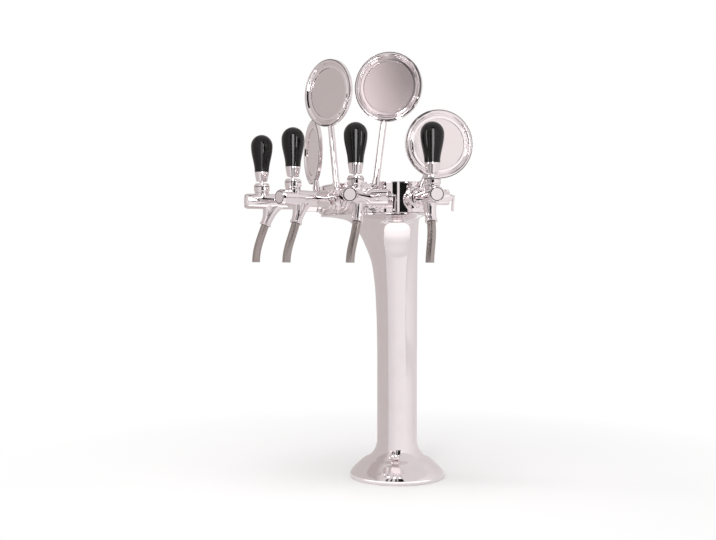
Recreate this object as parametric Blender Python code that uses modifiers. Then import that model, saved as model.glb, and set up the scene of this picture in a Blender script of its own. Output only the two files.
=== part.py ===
"""Four-tap beer tower: a round column that flares into a fan-shaped head, with four
taps in front and a round medallion standing over each of them.

The origin is on the column's axis at the underside of the foot. -Y is the front of the
fan and +Z is up. Lengths are in metres and angles in degrees until they are used.
"""

import math

import bmesh
import bpy
from mathutils import Euler, Matrix, Vector

# Gaps and overruns shared by every piece
SEAT_GAP = 0.0003
OVERRUN = 0.004
MERGE_DISTANCE = 0.00001

# Facets round each kind of piece
HEAD_FRONT_STEPS = 14
HEAD_BACK_STEPS = 18
HEAD_SIDES = HEAD_FRONT_STEPS + HEAD_BACK_STEPS
ROUND_SIDES = 18
TURNED_SIDES = 12
HIDDEN_SIDES = 8
HEXAGON_SIDES = 6
TUBE_RESOLUTION = 2
SHARP_ANGLE = 35.0

# Foot and column, one shell
FOOT_RADIUS = 0.0775
FOOT_RIM_HEIGHT = 0.0068
FOOT_SLOPE_HEIGHT = 0.0507
COLUMN_RADIUS = 0.0328
COLUMN_HEIGHT = 0.429
COLUMN_WALL = 0.0022
FLARE_HEIGHT = 0.222
FLARE_LIP = 0.0025
# Share of the way in from the foot's radius to the column's, share of the way up
FOOT_SLOPE_SHARES = (
    (0.0, 0.0), (0.056, 0.073), (0.311, 0.300), (0.481, 0.428),
    (0.732, 0.552), (0.924, 0.763), (1.0, 1.0),
)
# Share of the way from the column's circle to the head's outline, share of the way up
FLARE_SHARES = (
    (0.0, 0.0), (0.020, 0.300), (0.057, 0.528), (0.118, 0.679), (0.207, 0.777),
    (0.307, 0.866), (0.507, 0.966), (0.750, 0.992), (1.0, 1.0),
)

# Fan-shaped head
HEAD_FRONT_RADIUS = 0.126
HEAD_BACK_RADIUS = 0.038
HEAD_HALF_ANGLE = 52.0
HEAD_CORNER_SHARPNESS = 40.0
BAND_HEIGHT = 0.0447
BAND_WALL = 0.002
COVER_THICKNESS = 0.002
COVER_ROUNDING = 0.001
COVER_LIP_DEPTH = 0.0015
COVER_LIP_WALL = 0.0015

# Mounting plate inside the foot
PLATE_FLANGE_HEIGHT = 0.005
PLATE_SLOPE_CLEARANCE = 0.0042
PLATE_SLOPE_POINTS = 4
BOLT_HOLE_RADIUS = 0.0045
BOLT_CIRCLE_RADIUS = 0.0380
BOLT_COUNT = 3

# Beer lines from the plate to the shanks
LINE_RADIUS = 0.004
LINE_WALL_CLEARANCE = 0.0066
LINE_FAN_SHARE = 10 / 7
LINE_END_LIFT = 0.001
LINE_BEND_HEIGHT = 0.062
LINE_BEND_STEPS = 8
LINE_RISE_SHARE = 0.72
LINE_RUN_SHARE = 0.62

# Taps
TAP_COUNT = 4
TAP_SPACING = 28.0
TAP_RISE = 0.0197

# Rosette between the head and each medallion arm
ROSETTE_RADIUS = 0.019
ROSETTE_THICKNESS = 0.0047
ROSETTE_ROUNDING = 0.0017

# Shank through the head's front
SHANK_RADIUS = 0.0095
SHANK_BORE_RADIUS = 0.0065
SHANK_FIT_GAP = 0.0007
SHANK_SETBACK = 0.001
SHANK_FLANGE_RADIUS = 0.013
SHANK_FLANGE_GAP = 0.0015
SHANK_FLANGE_THICKNESS = 0.010
SHANK_INNER_LENGTH = 0.0208
TAIL_LENGTH = 0.016
TAIL_LINE_LENGTH = 0.0053
TAIL_RADIUS = 0.0038
TAIL_BORE_RADIUS = 0.0022

# Coupling nut
NUT_CORNER_RADIUS = 0.017
NUT_LENGTH = 0.0184

# Tap body
BODY_LENGTH = 0.0967
BODY_RADIUS = 0.012
BODY_FLANGE_RADIUS = 0.015
BODY_FLANGE_THICKNESS = 0.0057
BODY_NOSE_RADIUS = 0.0105
BODY_NOSE_TAPER = 0.004
BODY_BORE_RADIUS = 0.0064
BODY_BORE_END_WALL = 0.005
BODY_CHAMBER_RADIUS = 0.0086
CHAMBER_LEVER_SETBACK = 0.0237
SIDE_BOSS_RADIUS = 0.0116
SIDE_BOSS_REACH = 0.037
SIDE_BOSS_SETBACK = 0.0217
SIDE_HOLE_DEPTH = 0.013
SEAT_RADIUS = 0.0112
SEAT_RISE = 0.001
LEVER_NOSE_SETBACK = 0.027
SPOUT_SETBACK = 0.036
SPOUT_REACH = 0.0285
SPOUT_DROP = 0.038
SPOUT_LEAN = 20.0
SPOUT_ROOT_RADIUS = 0.0104
SPOUT_TIP_RADIUS = 0.0080
SPOUT_LIP_RADIUS = 0.0092
SPOUT_LIP_LENGTH = 0.0032
SPOUT_BORE_RADIUS = 0.004
SPOUT_STEPS = 5
SPOUT_FRONT_SETBACK = 0.058
SPOUT_FRONT_ROOT_RADIUS = 0.0112
SPOUT_FRONT_MIDDLE_RADIUS = 0.0092
SPOUT_FRONT_MIDDLE_DROP = 0.019
SPOUT_FRONT_MIDDLE_REACH = 0.002
SPOUT_FRONT_TIP_RADIUS = 0.0076
SPOUT_FRONT_TIP_STEP = 0.001
SPOUT_ROOT_PULL_SHARE = 0.45
SPOUT_TIP_PULL_SHARE = 0.45
SPOUT_LIP_STEP_SHARE = 0.1

# Pouring nozzle
NOZZLE_RADIUS = 0.0062
NOZZLE_WALL = 0.001
NOZZLE_REACH = 0.0134
NOZZLE_DROP = 0.0579
NOZZLE_SIDE_REACH = 0.0055
NOZZLE_STEPS = 5
NOZZLE_ROOT_PULL_SHARE = 0.43
NOZZLE_TIP_PULL_SHARE = 0.34

# Bonnet and hand lever, about the lever's pivot
PIVOT_RISE = 0.0225
LEVER_FORWARD = 30.0
LEVER_BACKWARD = 20.0
BALL_RADIUS = 0.007
BONNET_RADIUS = 0.0125
BONNET_SHOULDER_DROP = 0.0008
BONNET_DOME_RADIUS = 0.0119
BONNET_TOP_RISE = 0.0055
BONNET_LIP_RISE = 0.004
BONNET_DOME_STEPS = 2
BONNET_CAVITY_STEPS = 3
LEVER_NECK_RADIUS = 0.0035
LEVER_FINGER_RADIUS = 0.002
LEVER_FINGER_LENGTH = 0.0195
FERRULE_GAP = 0.0005
FERRULE_BOTTOM_RADIUS = 0.0087
FERRULE_TOP_RADIUS = 0.01135
FERRULE_TOP_RISE = 0.0237
FERRULE_CUP_STEPS = 2
BALL_STEPS = 5
STUD_RADIUS = 0.004
STUD_LENGTH = 0.021
KNOB_LENGTH = 0.0585
KNOB_RADIUS = 0.01715
KNOB_WIDEST_SHARE = 0.70
KNOB_SWELL_SHARE = 1.05
KNOB_CROWN_STEPS = 4
KNOB_WAIST_STEPS = 4
KNOB_STUD_CLEARANCE = 0.001

# Piston in the tap's bore
PISTON_GUIDE_LENGTH = 0.028
PISTON_STEM_RADIUS = 0.0035
PISTON_HEAD_LENGTH = 0.004
PISTON_HEAD_SETBACK = 0.042
PISTON_HOLE_RADIUS = 0.0034
PISTON_HOLE_FLOOR = 0.0014
FINGER_SIDE_CLEARANCE = 0.0012

# Compensator lever on the side boss
SPINDLE_RADIUS = 0.003
SPINDLE_COLLAR_RADIUS = 0.0047
SPINDLE_COLLAR_LENGTH = 0.0058
ARM_PLATE_THICKNESS = 0.0034
ARM_PLATE_WIDTH = 0.0066
ARM_PLATE_DROP = 0.0205
ARM_PLATE_ROUNDING = 0.001

# Medallion arms and medallions
ARM_RING_RADIUS = 0.016
ARM_RING_THICKNESS = 0.006
ARM_NECK_RADIUS = 0.0028
ARM_NECK_END = 0.0198
ARM_SLEEVE_RADIUS = 0.00625
ARM_SLEEVE_END = 0.028
ARM_ROD_RADIUS = 0.005
ARM_PIN_RADIUS = 0.0018
ARM_PIN_LENGTH = 0.004
INNER_MEDALLION_DISTANCE = 0.1705
OUTER_MEDALLION_DISTANCE = 0.0907
INNER_MEDALLION_LEAN = 7.6
OUTER_MEDALLION_LEAN = 22.7
MEDALLION_RADIUS = 0.0526
MEDALLION_THICKNESS = 0.007
MEDALLION_FLOOR = 0.0018
MEDALLION_FACE_SHARE = 0.74
# Share of the radius, share of half the thickness, from the face plate round to the back
MEDALLION_RIM_SHARES = (
    (0.74, 0.25), (0.82, 0.25), (0.85, -0.10), (0.90, 0.80),
    (0.95, 1.0), (1.0, 0.70), (1.0, -1.0),
)
FACE_THICKNESS = 0.001

# Places worked out from the sizes above
BAND_BOTTOM = COLUMN_HEIGHT + SEAT_GAP
BAND_TOP = BAND_BOTTOM + BAND_HEIGHT
TAP_HEIGHT = BAND_BOTTOM + TAP_RISE
ROSETTE_BACK = HEAD_FRONT_RADIUS + SEAT_GAP
ROSETTE_FRONT = ROSETTE_BACK + ROSETTE_THICKNESS
ARM_BACK = ROSETTE_FRONT + SEAT_GAP
ARM_FRONT = ARM_BACK + ARM_RING_THICKNESS
ARM_PLANE = (ARM_BACK + ARM_FRONT) / 2
NUT_BACK = ARM_FRONT + SEAT_GAP
NUT_FRONT = NUT_BACK + NUT_LENGTH
BODY_BACK = NUT_FRONT + SEAT_GAP
LEVER_SETBACK = BODY_LENGTH - LEVER_NOSE_SETBACK
BODY_CHAMBER_LENGTH = LEVER_SETBACK - CHAMBER_LEVER_SETBACK
SIDE_BOSS_PLACE = BODY_BACK + SIDE_BOSS_SETBACK
LEVER_PLACE = BODY_BACK + LEVER_SETBACK
SHANK_HOLE_RADIUS = SHANK_RADIUS + SHANK_FIT_GAP
LINE_CIRCLE_RADIUS = COLUMN_RADIUS - COLUMN_WALL - LINE_RADIUS - LINE_WALL_CLEARANCE
TAIL_PLACE = (HEAD_FRONT_RADIUS - BAND_WALL - SHANK_FLANGE_THICKNESS - SHANK_INNER_LENGTH
              - TAIL_LINE_LENGTH)

CHROME = ("mirror_chrome", (0.83, 0.79, 0.79), 0.06, 1.0)
STEEL = ("brushed_steel", (0.55, 0.53, 0.51), 0.28, 1.0)
BRASS = ("brass", (0.72, 0.55, 0.28), 0.30, 1.0)
SATIN = ("satin_plate", (0.80, 0.75, 0.75), 0.35, 1.0)
PLATED = ("plated_plastic", (0.83, 0.79, 0.79), 0.08, 1.0)
BLACK = ("black_plastic", (0.010, 0.010, 0.011), 0.18, 0.0)
HOSE = ("hose", (0.85, 0.86, 0.84), 0.45, 0.0)


def clear_scene():
    for item in list(bpy.data.objects):
        bpy.data.objects.remove(item, do_unlink=True)


def new_collection(name):
    group = bpy.data.collections.new(name)
    bpy.context.scene.collection.children.link(group)
    return group


def material(look):
    """One Principled material for a look, made when it is first asked for."""
    name, color, roughness, metallic = look
    if name in bpy.data.materials:
        return bpy.data.materials[name]
    made = bpy.data.materials.new(name)
    made.use_nodes = True
    shader = made.node_tree.nodes["Principled BSDF"]
    shader.inputs["Base Color"].default_value = (*color, 1.0)
    shader.inputs["Roughness"].default_value = roughness
    shader.inputs["Metallic"].default_value = metallic
    return made


def link_piece(name, mesh, look, parent=None, location=(0, 0, 0)):
    """One named piece of the tower, hung on its parent."""
    piece = bpy.data.objects.new(name, mesh)
    PARTS.objects.link(piece)
    piece.parent = parent
    piece.location = location
    if not mesh.materials:
        mesh.materials.append(material(look))
    return piece


def link_guide(name, mesh):
    """A shape that only cuts or builds other pieces."""
    guide = bpy.data.objects.new(name, mesh)
    GUIDES.objects.link(guide)
    guide.hide_render = True
    guide.display_type = "WIRE"
    return guide


def link_frame(name, parent, location, rotation):
    """An empty that carries the pieces placed on one axis."""
    frame = bpy.data.objects.new(name, None)
    PARTS.objects.link(frame)
    frame.parent = parent
    frame.location = location
    frame.rotation_euler = rotation
    return frame


def add_screw(guide, sides):
    screw = guide.modifiers.new("Turned", "SCREW")
    screw.axis = "Z"
    screw.angle = math.tau
    screw.steps = sides
    screw.render_steps = sides
    screw.use_merge_vertices = True
    screw.merge_threshold = MERGE_DISTANCE
    return screw


def profile_mesh(name, points, ring):
    """A turned outline of (radius, height) points, closed into a loop for a ring."""
    mesh = bpy.data.meshes.new(name)
    edges = [(i, i + 1) for i in range(len(points) - 1)]
    if ring:
        edges.append((len(points) - 1, 0))
    mesh.from_pydata([(radius, 0, height) for radius, height in points], edges, [])
    return mesh


def turned(name, points, sides=TURNED_SIDES, ring=False):
    guide = link_guide(name, profile_mesh(name, points, ring))
    add_screw(guide, sides)
    return guide


def rod(name, radius, bottom, top, sides=TURNED_SIDES):
    return turned(name, [(0, top), (radius, top), (radius, bottom), (0, bottom)], sides)


def block(name, low, high):
    """A box between two opposite corners."""
    shape = bmesh.new()
    bmesh.ops.create_cube(shape, size=1.0)
    for vert in shape.verts:
        vert.co = Vector(high[i] if vert.co[i] > 0 else low[i] for i in range(3))
    mesh = bpy.data.meshes.new(name)
    shape.to_mesh(mesh)
    shape.free()
    return link_guide(name, mesh)


def tube(name, points, radius, radius_shares=None):
    """A round tube along points, as a closed mesh."""
    curve = bpy.data.curves.new(name, "CURVE")
    curve.dimensions = "3D"
    curve.bevel_depth = radius
    curve.bevel_resolution = TUBE_RESOLUTION
    curve.use_fill_caps = True
    spline = curve.splines.new("POLY")
    spline.points.add(len(points) - 1)
    for i, point in enumerate(points):
        spline.points[i].co = (*point, 1.0)
        spline.points[i].radius = radius_shares[i] if radius_shares else 1.0
    source = link_guide(name + "_curve", curve)
    guide = link_guide(name, evaluated_mesh(source))
    guide.matrix_world = source.matrix_world
    remove(source)
    return guide


def evaluated_mesh(guide):
    """The object's mesh with its modifiers applied, welded and shaded smooth."""
    bpy.context.view_layer.update()
    seen = guide.evaluated_get(bpy.context.evaluated_depsgraph_get())
    mesh = bpy.data.meshes.new_from_object(seen)
    shape = bmesh.new()
    shape.from_mesh(mesh)
    bmesh.ops.remove_doubles(shape, verts=shape.verts, dist=MERGE_DISTANCE)
    shape.to_mesh(mesh)
    shape.free()
    mesh.shade_smooth()
    mesh.set_sharp_from_angle(angle=math.radians(SHARP_ANGLE))
    return mesh


def remove(item):
    bpy.data.objects.remove(item, do_unlink=True)


def combine(base, other, operation):
    """Joins another shape to the base, or cuts it out of the base."""
    joint = base.modifiers.new(other.name, "BOOLEAN")
    joint.operation = operation
    joint.object = other
    joint.solver = "EXACT"
    return joint


def built(base, joined=(), cut=()):
    """The base with the others joined and cut, as one mesh, without its guides."""
    for other in joined:
        combine(base, other, "UNION")
    for other in cut:
        combine(base, other, "DIFFERENCE")
    mesh = evaluated_mesh(base)
    mesh.name = base.name
    for guide in (base, *joined, *cut):
        remove(guide)
    return mesh


def bezier(start, start_pull, end_pull, end, steps):
    """Points along a cubic curve from start to end."""
    points = []
    for i in range(steps + 1):
        t = i / steps
        near = start * (1 - t) ** 3 + start_pull * (3 * t * (1 - t) ** 2)
        far = end_pull * (3 * t * t * (1 - t)) + end * t ** 3
        points.append(near + far)
    return points


def outline_radius(turn, inset=0):
    """Radius of the head's fan outline at an angle from the front, drawn in by an inset."""
    turn = abs(math.remainder(turn, math.tau))
    tangent = math.radians(HEAD_HALF_ANGLE) + math.acos(HEAD_BACK_RADIUS / HEAD_FRONT_RADIUS)
    front = HEAD_FRONT_RADIUS - inset
    back = HEAD_BACK_RADIUS - inset
    if turn >= tangent:
        return back
    lean = math.cos(turn - tangent)
    if lean <= 0:
        return front
    power = -HEAD_CORNER_SHARPNESS
    return front * (1 + (back / lean / front) ** power) ** (1 / power)


def head_turns():
    """Angles of the points round the head, with one at each front corner."""
    corner = math.radians(HEAD_HALF_ANGLE)
    front = [corner * (2 * i / HEAD_FRONT_STEPS - 1) for i in range(HEAD_FRONT_STEPS)]
    rest = math.tau - 2 * corner
    back = [corner + rest * i / HEAD_BACK_STEPS for i in range(HEAD_BACK_STEPS)]
    return front + back


def ring_of_points(height, radius_at):
    points = []
    for turn in head_turns():
        radius = radius_at(turn)
        points.append(Vector((radius * math.sin(turn), -radius * math.cos(turn), height)))
    return points


def loft(name, rings, cap_first, cap_last):
    """Quads between rings of points, from the first ring to the last."""
    mesh = bpy.data.meshes.new(name)
    verts = [point for ring in rings for point in ring]
    faces = []
    for i in range(len(rings) - 1):
        for j in range(HEAD_SIDES):
            k = (j + 1) % HEAD_SIDES
            low, high = i * HEAD_SIDES, (i + 1) * HEAD_SIDES
            faces.append((low + j, low + k, high + k, high + j))
    if cap_first:
        faces.append(tuple(reversed(range(HEAD_SIDES))))
    if cap_last:
        start = (len(rings) - 1) * HEAD_SIDES
        faces.append(tuple(range(start, start + HEAD_SIDES)))
    mesh.from_pydata(verts, [], faces)
    mesh.shade_smooth()
    mesh.set_sharp_from_angle(angle=math.radians(SHARP_ANGLE))
    return mesh


def add_wall(piece, thickness):
    wall = piece.modifiers.new("Wall", "SOLIDIFY")
    wall.thickness = thickness
    wall.offset = -1.0
    return wall


def column_shell():
    """Foot, column and flare in one skin, open at both ends."""
    def circle(radius):
        return lambda turn: radius

    def flared(share):
        return lambda turn: COLUMN_RADIUS + share * (outline_radius(turn) - COLUMN_RADIUS)

    slope_in = FOOT_RADIUS - COLUMN_RADIUS
    rings = [ring_of_points(0, circle(FOOT_RADIUS))]
    for inward, up in FOOT_SLOPE_SHARES:
        height = FOOT_RIM_HEIGHT + up * FOOT_SLOPE_HEIGHT
        rings.append(ring_of_points(height, circle(FOOT_RADIUS - inward * slope_in)))
    flare_bottom = COLUMN_HEIGHT - FLARE_HEIGHT
    for outward, up in FLARE_SHARES:
        height = flare_bottom + up * (FLARE_HEIGHT - FLARE_LIP)
        rings.append(ring_of_points(height, flared(outward)))
    rings.append(ring_of_points(COLUMN_HEIGHT, flared(1.0)))
    shell = link_piece("column_shell", loft("column_shell", rings, False, False), CHROME)
    add_wall(shell, COLUMN_WALL)
    return shell


def head_band():
    """Upright wall of the fan-shaped head, with a hole for each shank."""
    rings = [ring_of_points(height, outline_radius) for height in (BAND_BOTTOM, BAND_TOP)]
    band = link_piece("head_band", loft("head_band", rings, False, False), CHROME)
    add_wall(band, BAND_WALL)
    for index in range(TAP_COUNT):
        hole = rod(f"shank_hole_{index + 1}", SHANK_HOLE_RADIUS,
                   ARM_BACK - BAND_WALL - ROSETTE_RADIUS, ARM_FRONT)
        hole.matrix_world = tap_matrix(index)
        combine(band, hole, "DIFFERENCE")
    return band


def head_cover():
    """Lid of the head, with a thin lip that drops inside the band."""
    def inset(depth):
        return lambda turn: outline_radius(turn, depth)

    under = BAND_TOP + SEAT_GAP
    top = under + COVER_THICKNESS
    lip_outside = BAND_WALL + SEAT_GAP * 2
    lip_inside = lip_outside + COVER_LIP_WALL
    lip_bottom = under - COVER_LIP_DEPTH
    rings = [
        ring_of_points(under, inset(lip_inside)),
        ring_of_points(lip_bottom, inset(lip_inside)),
        ring_of_points(lip_bottom, inset(lip_outside)),
        ring_of_points(under, inset(lip_outside)),
        ring_of_points(under, inset(0)),
        ring_of_points(top - COVER_ROUNDING, inset(0)),
        ring_of_points(top, inset(COVER_ROUNDING)),
    ]
    return link_piece("head_cover", loft("head_cover", rings, True, True), CHROME)


def mounting_plate():
    """Heavy flange in the foot, with holes for the bolts and the beer lines."""
    facing = math.cos(math.pi / HEAD_BACK_STEPS)
    radius = (FOOT_RADIUS - COLUMN_WALL) * facing - SEAT_GAP
    outline = []
    for inward, up in FOOT_SLOPE_SHARES[:PLATE_SLOPE_POINTS]:
        foot = FOOT_RADIUS - inward * (FOOT_RADIUS - COLUMN_RADIUS)
        height = FOOT_RIM_HEIGHT + up * FOOT_SLOPE_HEIGHT
        outline.insert(0, (foot * facing - PLATE_SLOPE_CLEARANCE, height))
    top = outline[0][1]
    outline = [(0, top), *outline, (radius, PLATE_FLANGE_HEIGHT), (radius, 0), (0, 0)]
    plate = link_piece("mounting_plate", profile_mesh("mounting_plate", outline, False), STEEL)
    add_screw(plate, HEAD_SIDES)
    for index in range(TAP_COUNT):
        hole = rod(f"line_hole_{index + 1}", LINE_RADIUS + SEAT_GAP,
                   -OVERRUN, top + OVERRUN, HIDDEN_SIDES)
        hole.location = line_foot(index)
        combine(plate, hole, "DIFFERENCE")
    for index in range(BOLT_COUNT):
        turn = math.tau * index / BOLT_COUNT
        hole = rod(f"bolt_hole_{index + 1}", BOLT_HOLE_RADIUS,
                   -OVERRUN, top + OVERRUN, HIDDEN_SIDES)
        hole.location = (BOLT_CIRCLE_RADIUS * math.sin(turn), BOLT_CIRCLE_RADIUS * math.cos(turn), 0)
        combine(plate, hole, "DIFFERENCE")
    return plate


def tap_angle(index):
    """How far a tap is turned from the front, to the right as the part faces -Y."""
    return math.radians(TAP_SPACING * (index - (TAP_COUNT - 1) / 2))


def tap_direction(index):
    turn = tap_angle(index)
    return Vector((math.sin(turn), -math.cos(turn), 0))


def line_foot(index):
    """Where a beer line passes the mounting plate."""
    turn = tap_angle(index) * LINE_FAN_SHARE
    return Vector((LINE_CIRCLE_RADIUS * math.sin(turn), -LINE_CIRCLE_RADIUS * math.cos(turn), 0))


def beer_line(index):
    """A line that runs up the column and bends out to its shank."""
    foot = line_foot(index)
    out = tap_direction(index)
    up = Vector((0, 0, 1))
    bend = foot + up * (TAP_HEIGHT - LINE_BEND_HEIGHT)
    end = out * (TAIL_PLACE - SEAT_GAP) + up * TAP_HEIGHT
    run = (TAIL_PLACE - LINE_CIRCLE_RADIUS) * LINE_RUN_SHARE
    route = bezier(bend, bend + up * (LINE_BEND_HEIGHT * LINE_RISE_SHARE), end - out * run,
                   end, LINE_BEND_STEPS)
    points = [foot + up * LINE_END_LIFT, *route]
    guide = tube(f"line_{index + 1}", points, LINE_RADIUS)
    return link_piece(f"beer_line_{index + 1}", built(guide), HOSE)


def tap_rotation(index):
    """Turns +X to the side, +Y up and +Z out along a tap's axis."""
    return Euler((math.radians(90), 0, tap_angle(index)))


def tap_matrix(index):
    place = Matrix.Translation((0, 0, TAP_HEIGHT))
    return place @ tap_rotation(index).to_matrix().to_4x4()


def rosette_mesh():
    """Round cover where the shank leaves the head, its back curved like the head's front."""
    outline = [
        (ROSETTE_RADIUS - ROSETTE_ROUNDING, ROSETTE_THICKNESS),
        (ROSETTE_RADIUS, ROSETTE_THICKNESS - ROSETTE_ROUNDING),
        (ROSETTE_RADIUS, 0), (SHANK_HOLE_RADIUS, 0), (SHANK_HOLE_RADIUS, ROSETTE_THICKNESS),
    ]
    mesh = built(turned("rosette", outline, ROUND_SIDES, ring=True))
    for vert in mesh.vertices:
        if vert.co.z < MERGE_DISTANCE:
            vert.co.z = math.sqrt(ROSETTE_BACK ** 2 - vert.co.x ** 2) - ROSETTE_BACK
    return mesh


def shank_mesh():
    """Threaded tube with a flange inside the head and a barbed tail."""
    inside = HEAD_FRONT_RADIUS - BAND_WALL
    flange_front = math.sqrt(inside ** 2 - SHANK_FLANGE_RADIUS ** 2) - SHANK_FLANGE_GAP
    flange_back = flange_front - SHANK_FLANGE_THICKNESS
    front = NUT_FRONT - SHANK_SETBACK
    tail_start = TAIL_PLACE + TAIL_LENGTH
    outline = [
        (SHANK_RADIUS, front), (SHANK_RADIUS, flange_front),
        (SHANK_FLANGE_RADIUS, flange_front), (SHANK_FLANGE_RADIUS, flange_back),
        (SHANK_RADIUS, flange_back), (SHANK_RADIUS, tail_start), (TAIL_RADIUS, tail_start),
        (TAIL_RADIUS, TAIL_PLACE), (TAIL_BORE_RADIUS, TAIL_PLACE), (TAIL_BORE_RADIUS, tail_start),
        (SHANK_BORE_RADIUS, tail_start + SHANK_RADIUS - TAIL_RADIUS), (SHANK_BORE_RADIUS, front),
    ]
    return built(turned("shank", outline, HIDDEN_SIDES, ring=True))


def coupling_nut_mesh():
    """Hexagon nut that pulls the tap onto its shank."""
    chamfer = NUT_CORNER_RADIUS - NUT_CORNER_RADIUS * math.cos(math.pi / HEXAGON_SIDES)
    inner = NUT_CORNER_RADIUS - chamfer
    outline = [(0, NUT_LENGTH), (inner, NUT_LENGTH), (NUT_CORNER_RADIUS, NUT_LENGTH - chamfer),
               (NUT_CORNER_RADIUS, chamfer), (inner, 0), (0, 0)]
    nut = turned("coupling_nut", outline, HEXAGON_SIDES)
    bore = rod("nut_bore", SHANK_HOLE_RADIUS, -OVERRUN, NUT_LENGTH + OVERRUN)
    return built(nut, cut=[bore])


def spout_path():
    """Points down the middle of the spout, and the direction at its tip."""
    lean = math.radians(SPOUT_LEAN)
    root_direction = Vector((0, -math.sin(lean), math.cos(lean)))
    tip_direction = Vector((0, -math.cos(lean), math.sin(lean)))
    start = Vector((0, 0, SPOUT_SETBACK))
    end = Vector((0, -SPOUT_DROP, SPOUT_SETBACK + SPOUT_REACH))
    neck = end - tip_direction * SPOUT_LIP_LENGTH
    root_pull = root_direction * (SPOUT_REACH * SPOUT_ROOT_PULL_SHARE)
    tip_pull = tip_direction * (SPOUT_DROP * SPOUT_TIP_PULL_SHARE)
    points = bezier(start, start + root_pull, neck - tip_pull, neck, SPOUT_STEPS)
    return points, end, tip_direction


def tap_body_mesh():
    """Barrel with its side boss, bonnet seat and two-lobed spout, bored through."""
    outline = [
        (0, BODY_LENGTH), (BODY_NOSE_RADIUS, BODY_LENGTH),
        (BODY_RADIUS, BODY_LENGTH - BODY_NOSE_TAPER), (BODY_RADIUS, BODY_FLANGE_THICKNESS),
        (BODY_FLANGE_RADIUS, BODY_FLANGE_THICKNESS), (BODY_FLANGE_RADIUS, 0), (0, 0),
    ]
    barrel = turned("tap_body", outline, ROUND_SIDES)
    boss = rod("side_boss", SIDE_BOSS_RADIUS, 0, SIDE_BOSS_REACH)
    boss.location = (0, 0, SIDE_BOSS_SETBACK)
    boss.rotation_euler = (0, math.radians(90), 0)
    seat_top = BODY_RADIUS + SEAT_RISE
    seat = rod("bonnet_seat", SEAT_RADIUS, 0, seat_top)
    seat.location = (0, 0, LEVER_SETBACK)
    seat.rotation_euler = (math.radians(-90), 0, 0)

    points, tip, direction = spout_path()
    share_span = SPOUT_TIP_RADIUS / SPOUT_ROOT_RADIUS - 1
    shares = [1 + share_span * i / SPOUT_STEPS for i in range(SPOUT_STEPS + 1)]
    lip_share = SPOUT_LIP_RADIUS / SPOUT_ROOT_RADIUS
    lip_start = points[-1] + direction * (SPOUT_LIP_LENGTH * SPOUT_LIP_STEP_SHARE)
    spout = tube("spout", [*points, lip_start, tip], SPOUT_ROOT_RADIUS,
                 [*shares, lip_share, lip_share])
    front_start = Vector((0, 0, SPOUT_FRONT_SETBACK))
    front_middle = front_start + Vector((0, -SPOUT_FRONT_MIDDLE_DROP, SPOUT_FRONT_MIDDLE_REACH))
    front_end = points[-1] - direction * SPOUT_FRONT_TIP_STEP
    front = tube("spout_front", [front_start, front_middle, front_end], SPOUT_FRONT_ROOT_RADIUS,
                 [1, SPOUT_FRONT_MIDDLE_RADIUS / SPOUT_FRONT_ROOT_RADIUS,
                  SPOUT_FRONT_TIP_RADIUS / SPOUT_FRONT_ROOT_RADIUS])
    spout_bore = tube("spout_bore", [*points, tip + direction * OVERRUN], SPOUT_BORE_RADIUS)

    bore_outline = [
        (0, BODY_LENGTH - BODY_BORE_END_WALL), (BODY_BORE_RADIUS, BODY_LENGTH - BODY_BORE_END_WALL),
        (BODY_BORE_RADIUS, BODY_CHAMBER_LENGTH), (BODY_CHAMBER_RADIUS, BODY_CHAMBER_LENGTH),
        (BODY_CHAMBER_RADIUS, -OVERRUN), (0, -OVERRUN),
    ]
    bore = turned("main_bore", bore_outline)
    side_hole = rod("side_hole", SPINDLE_RADIUS + SEAT_GAP,
                    SIDE_BOSS_REACH - SIDE_HOLE_DEPTH, SIDE_BOSS_REACH + OVERRUN, HIDDEN_SIDES)
    side_hole.location = boss.location
    side_hole.rotation_euler = boss.rotation_euler
    half_width = LEVER_FINGER_RADIUS + FINGER_SIDE_CLEARANCE
    slot = block("finger_slot",
                 (-half_width, 0, LEVER_SETBACK - finger_reach(LEVER_FORWARD)),
                 (half_width, seat_top + OVERRUN, LEVER_SETBACK + finger_reach(LEVER_BACKWARD)))
    return built(barrel, joined=[boss, seat, spout, front],
                 cut=[bore, spout_bore, side_hole, slot])


def finger_reach(swing):
    """How far the finger's tip comes from upright at a swing, with a gap."""
    turn = math.radians(swing)
    reach = LEVER_FINGER_LENGTH * math.sin(turn) + LEVER_FINGER_RADIUS * math.cos(turn)
    return reach + SEAT_GAP


def nozzle_mesh():
    """Steel pouring tube that carries on from the spout's lip, bent down and a little aside."""
    direction = spout_path()[2]
    down = Vector((0, -1, 0))
    start = spout_path()[1] + direction * SEAT_GAP
    end = start + Vector((-NOZZLE_SIDE_REACH, -NOZZLE_DROP, NOZZLE_REACH))
    near = start + direction * (NOZZLE_DROP * NOZZLE_ROOT_PULL_SHARE)
    far = end - down * (NOZZLE_DROP * NOZZLE_TIP_PULL_SHARE)
    points = bezier(start, near, far, end, NOZZLE_STEPS)
    outside = tube("nozzle", points, NOZZLE_RADIUS)
    ends = [start - direction * OVERRUN, *points[1:-1], end + down * OVERRUN]
    return built(outside, cut=[tube("nozzle_bore", ends, NOZZLE_RADIUS - NOZZLE_WALL)])


def arc(radius, start, end, steps):
    """(radius, height) points on a circle about the pivot, by angle from straight up."""
    points = []
    for i in range(steps + 1):
        turn = start + (end - start) * i / steps
        points.append((radius * math.sin(turn), radius * math.cos(turn)))
    return points


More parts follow.
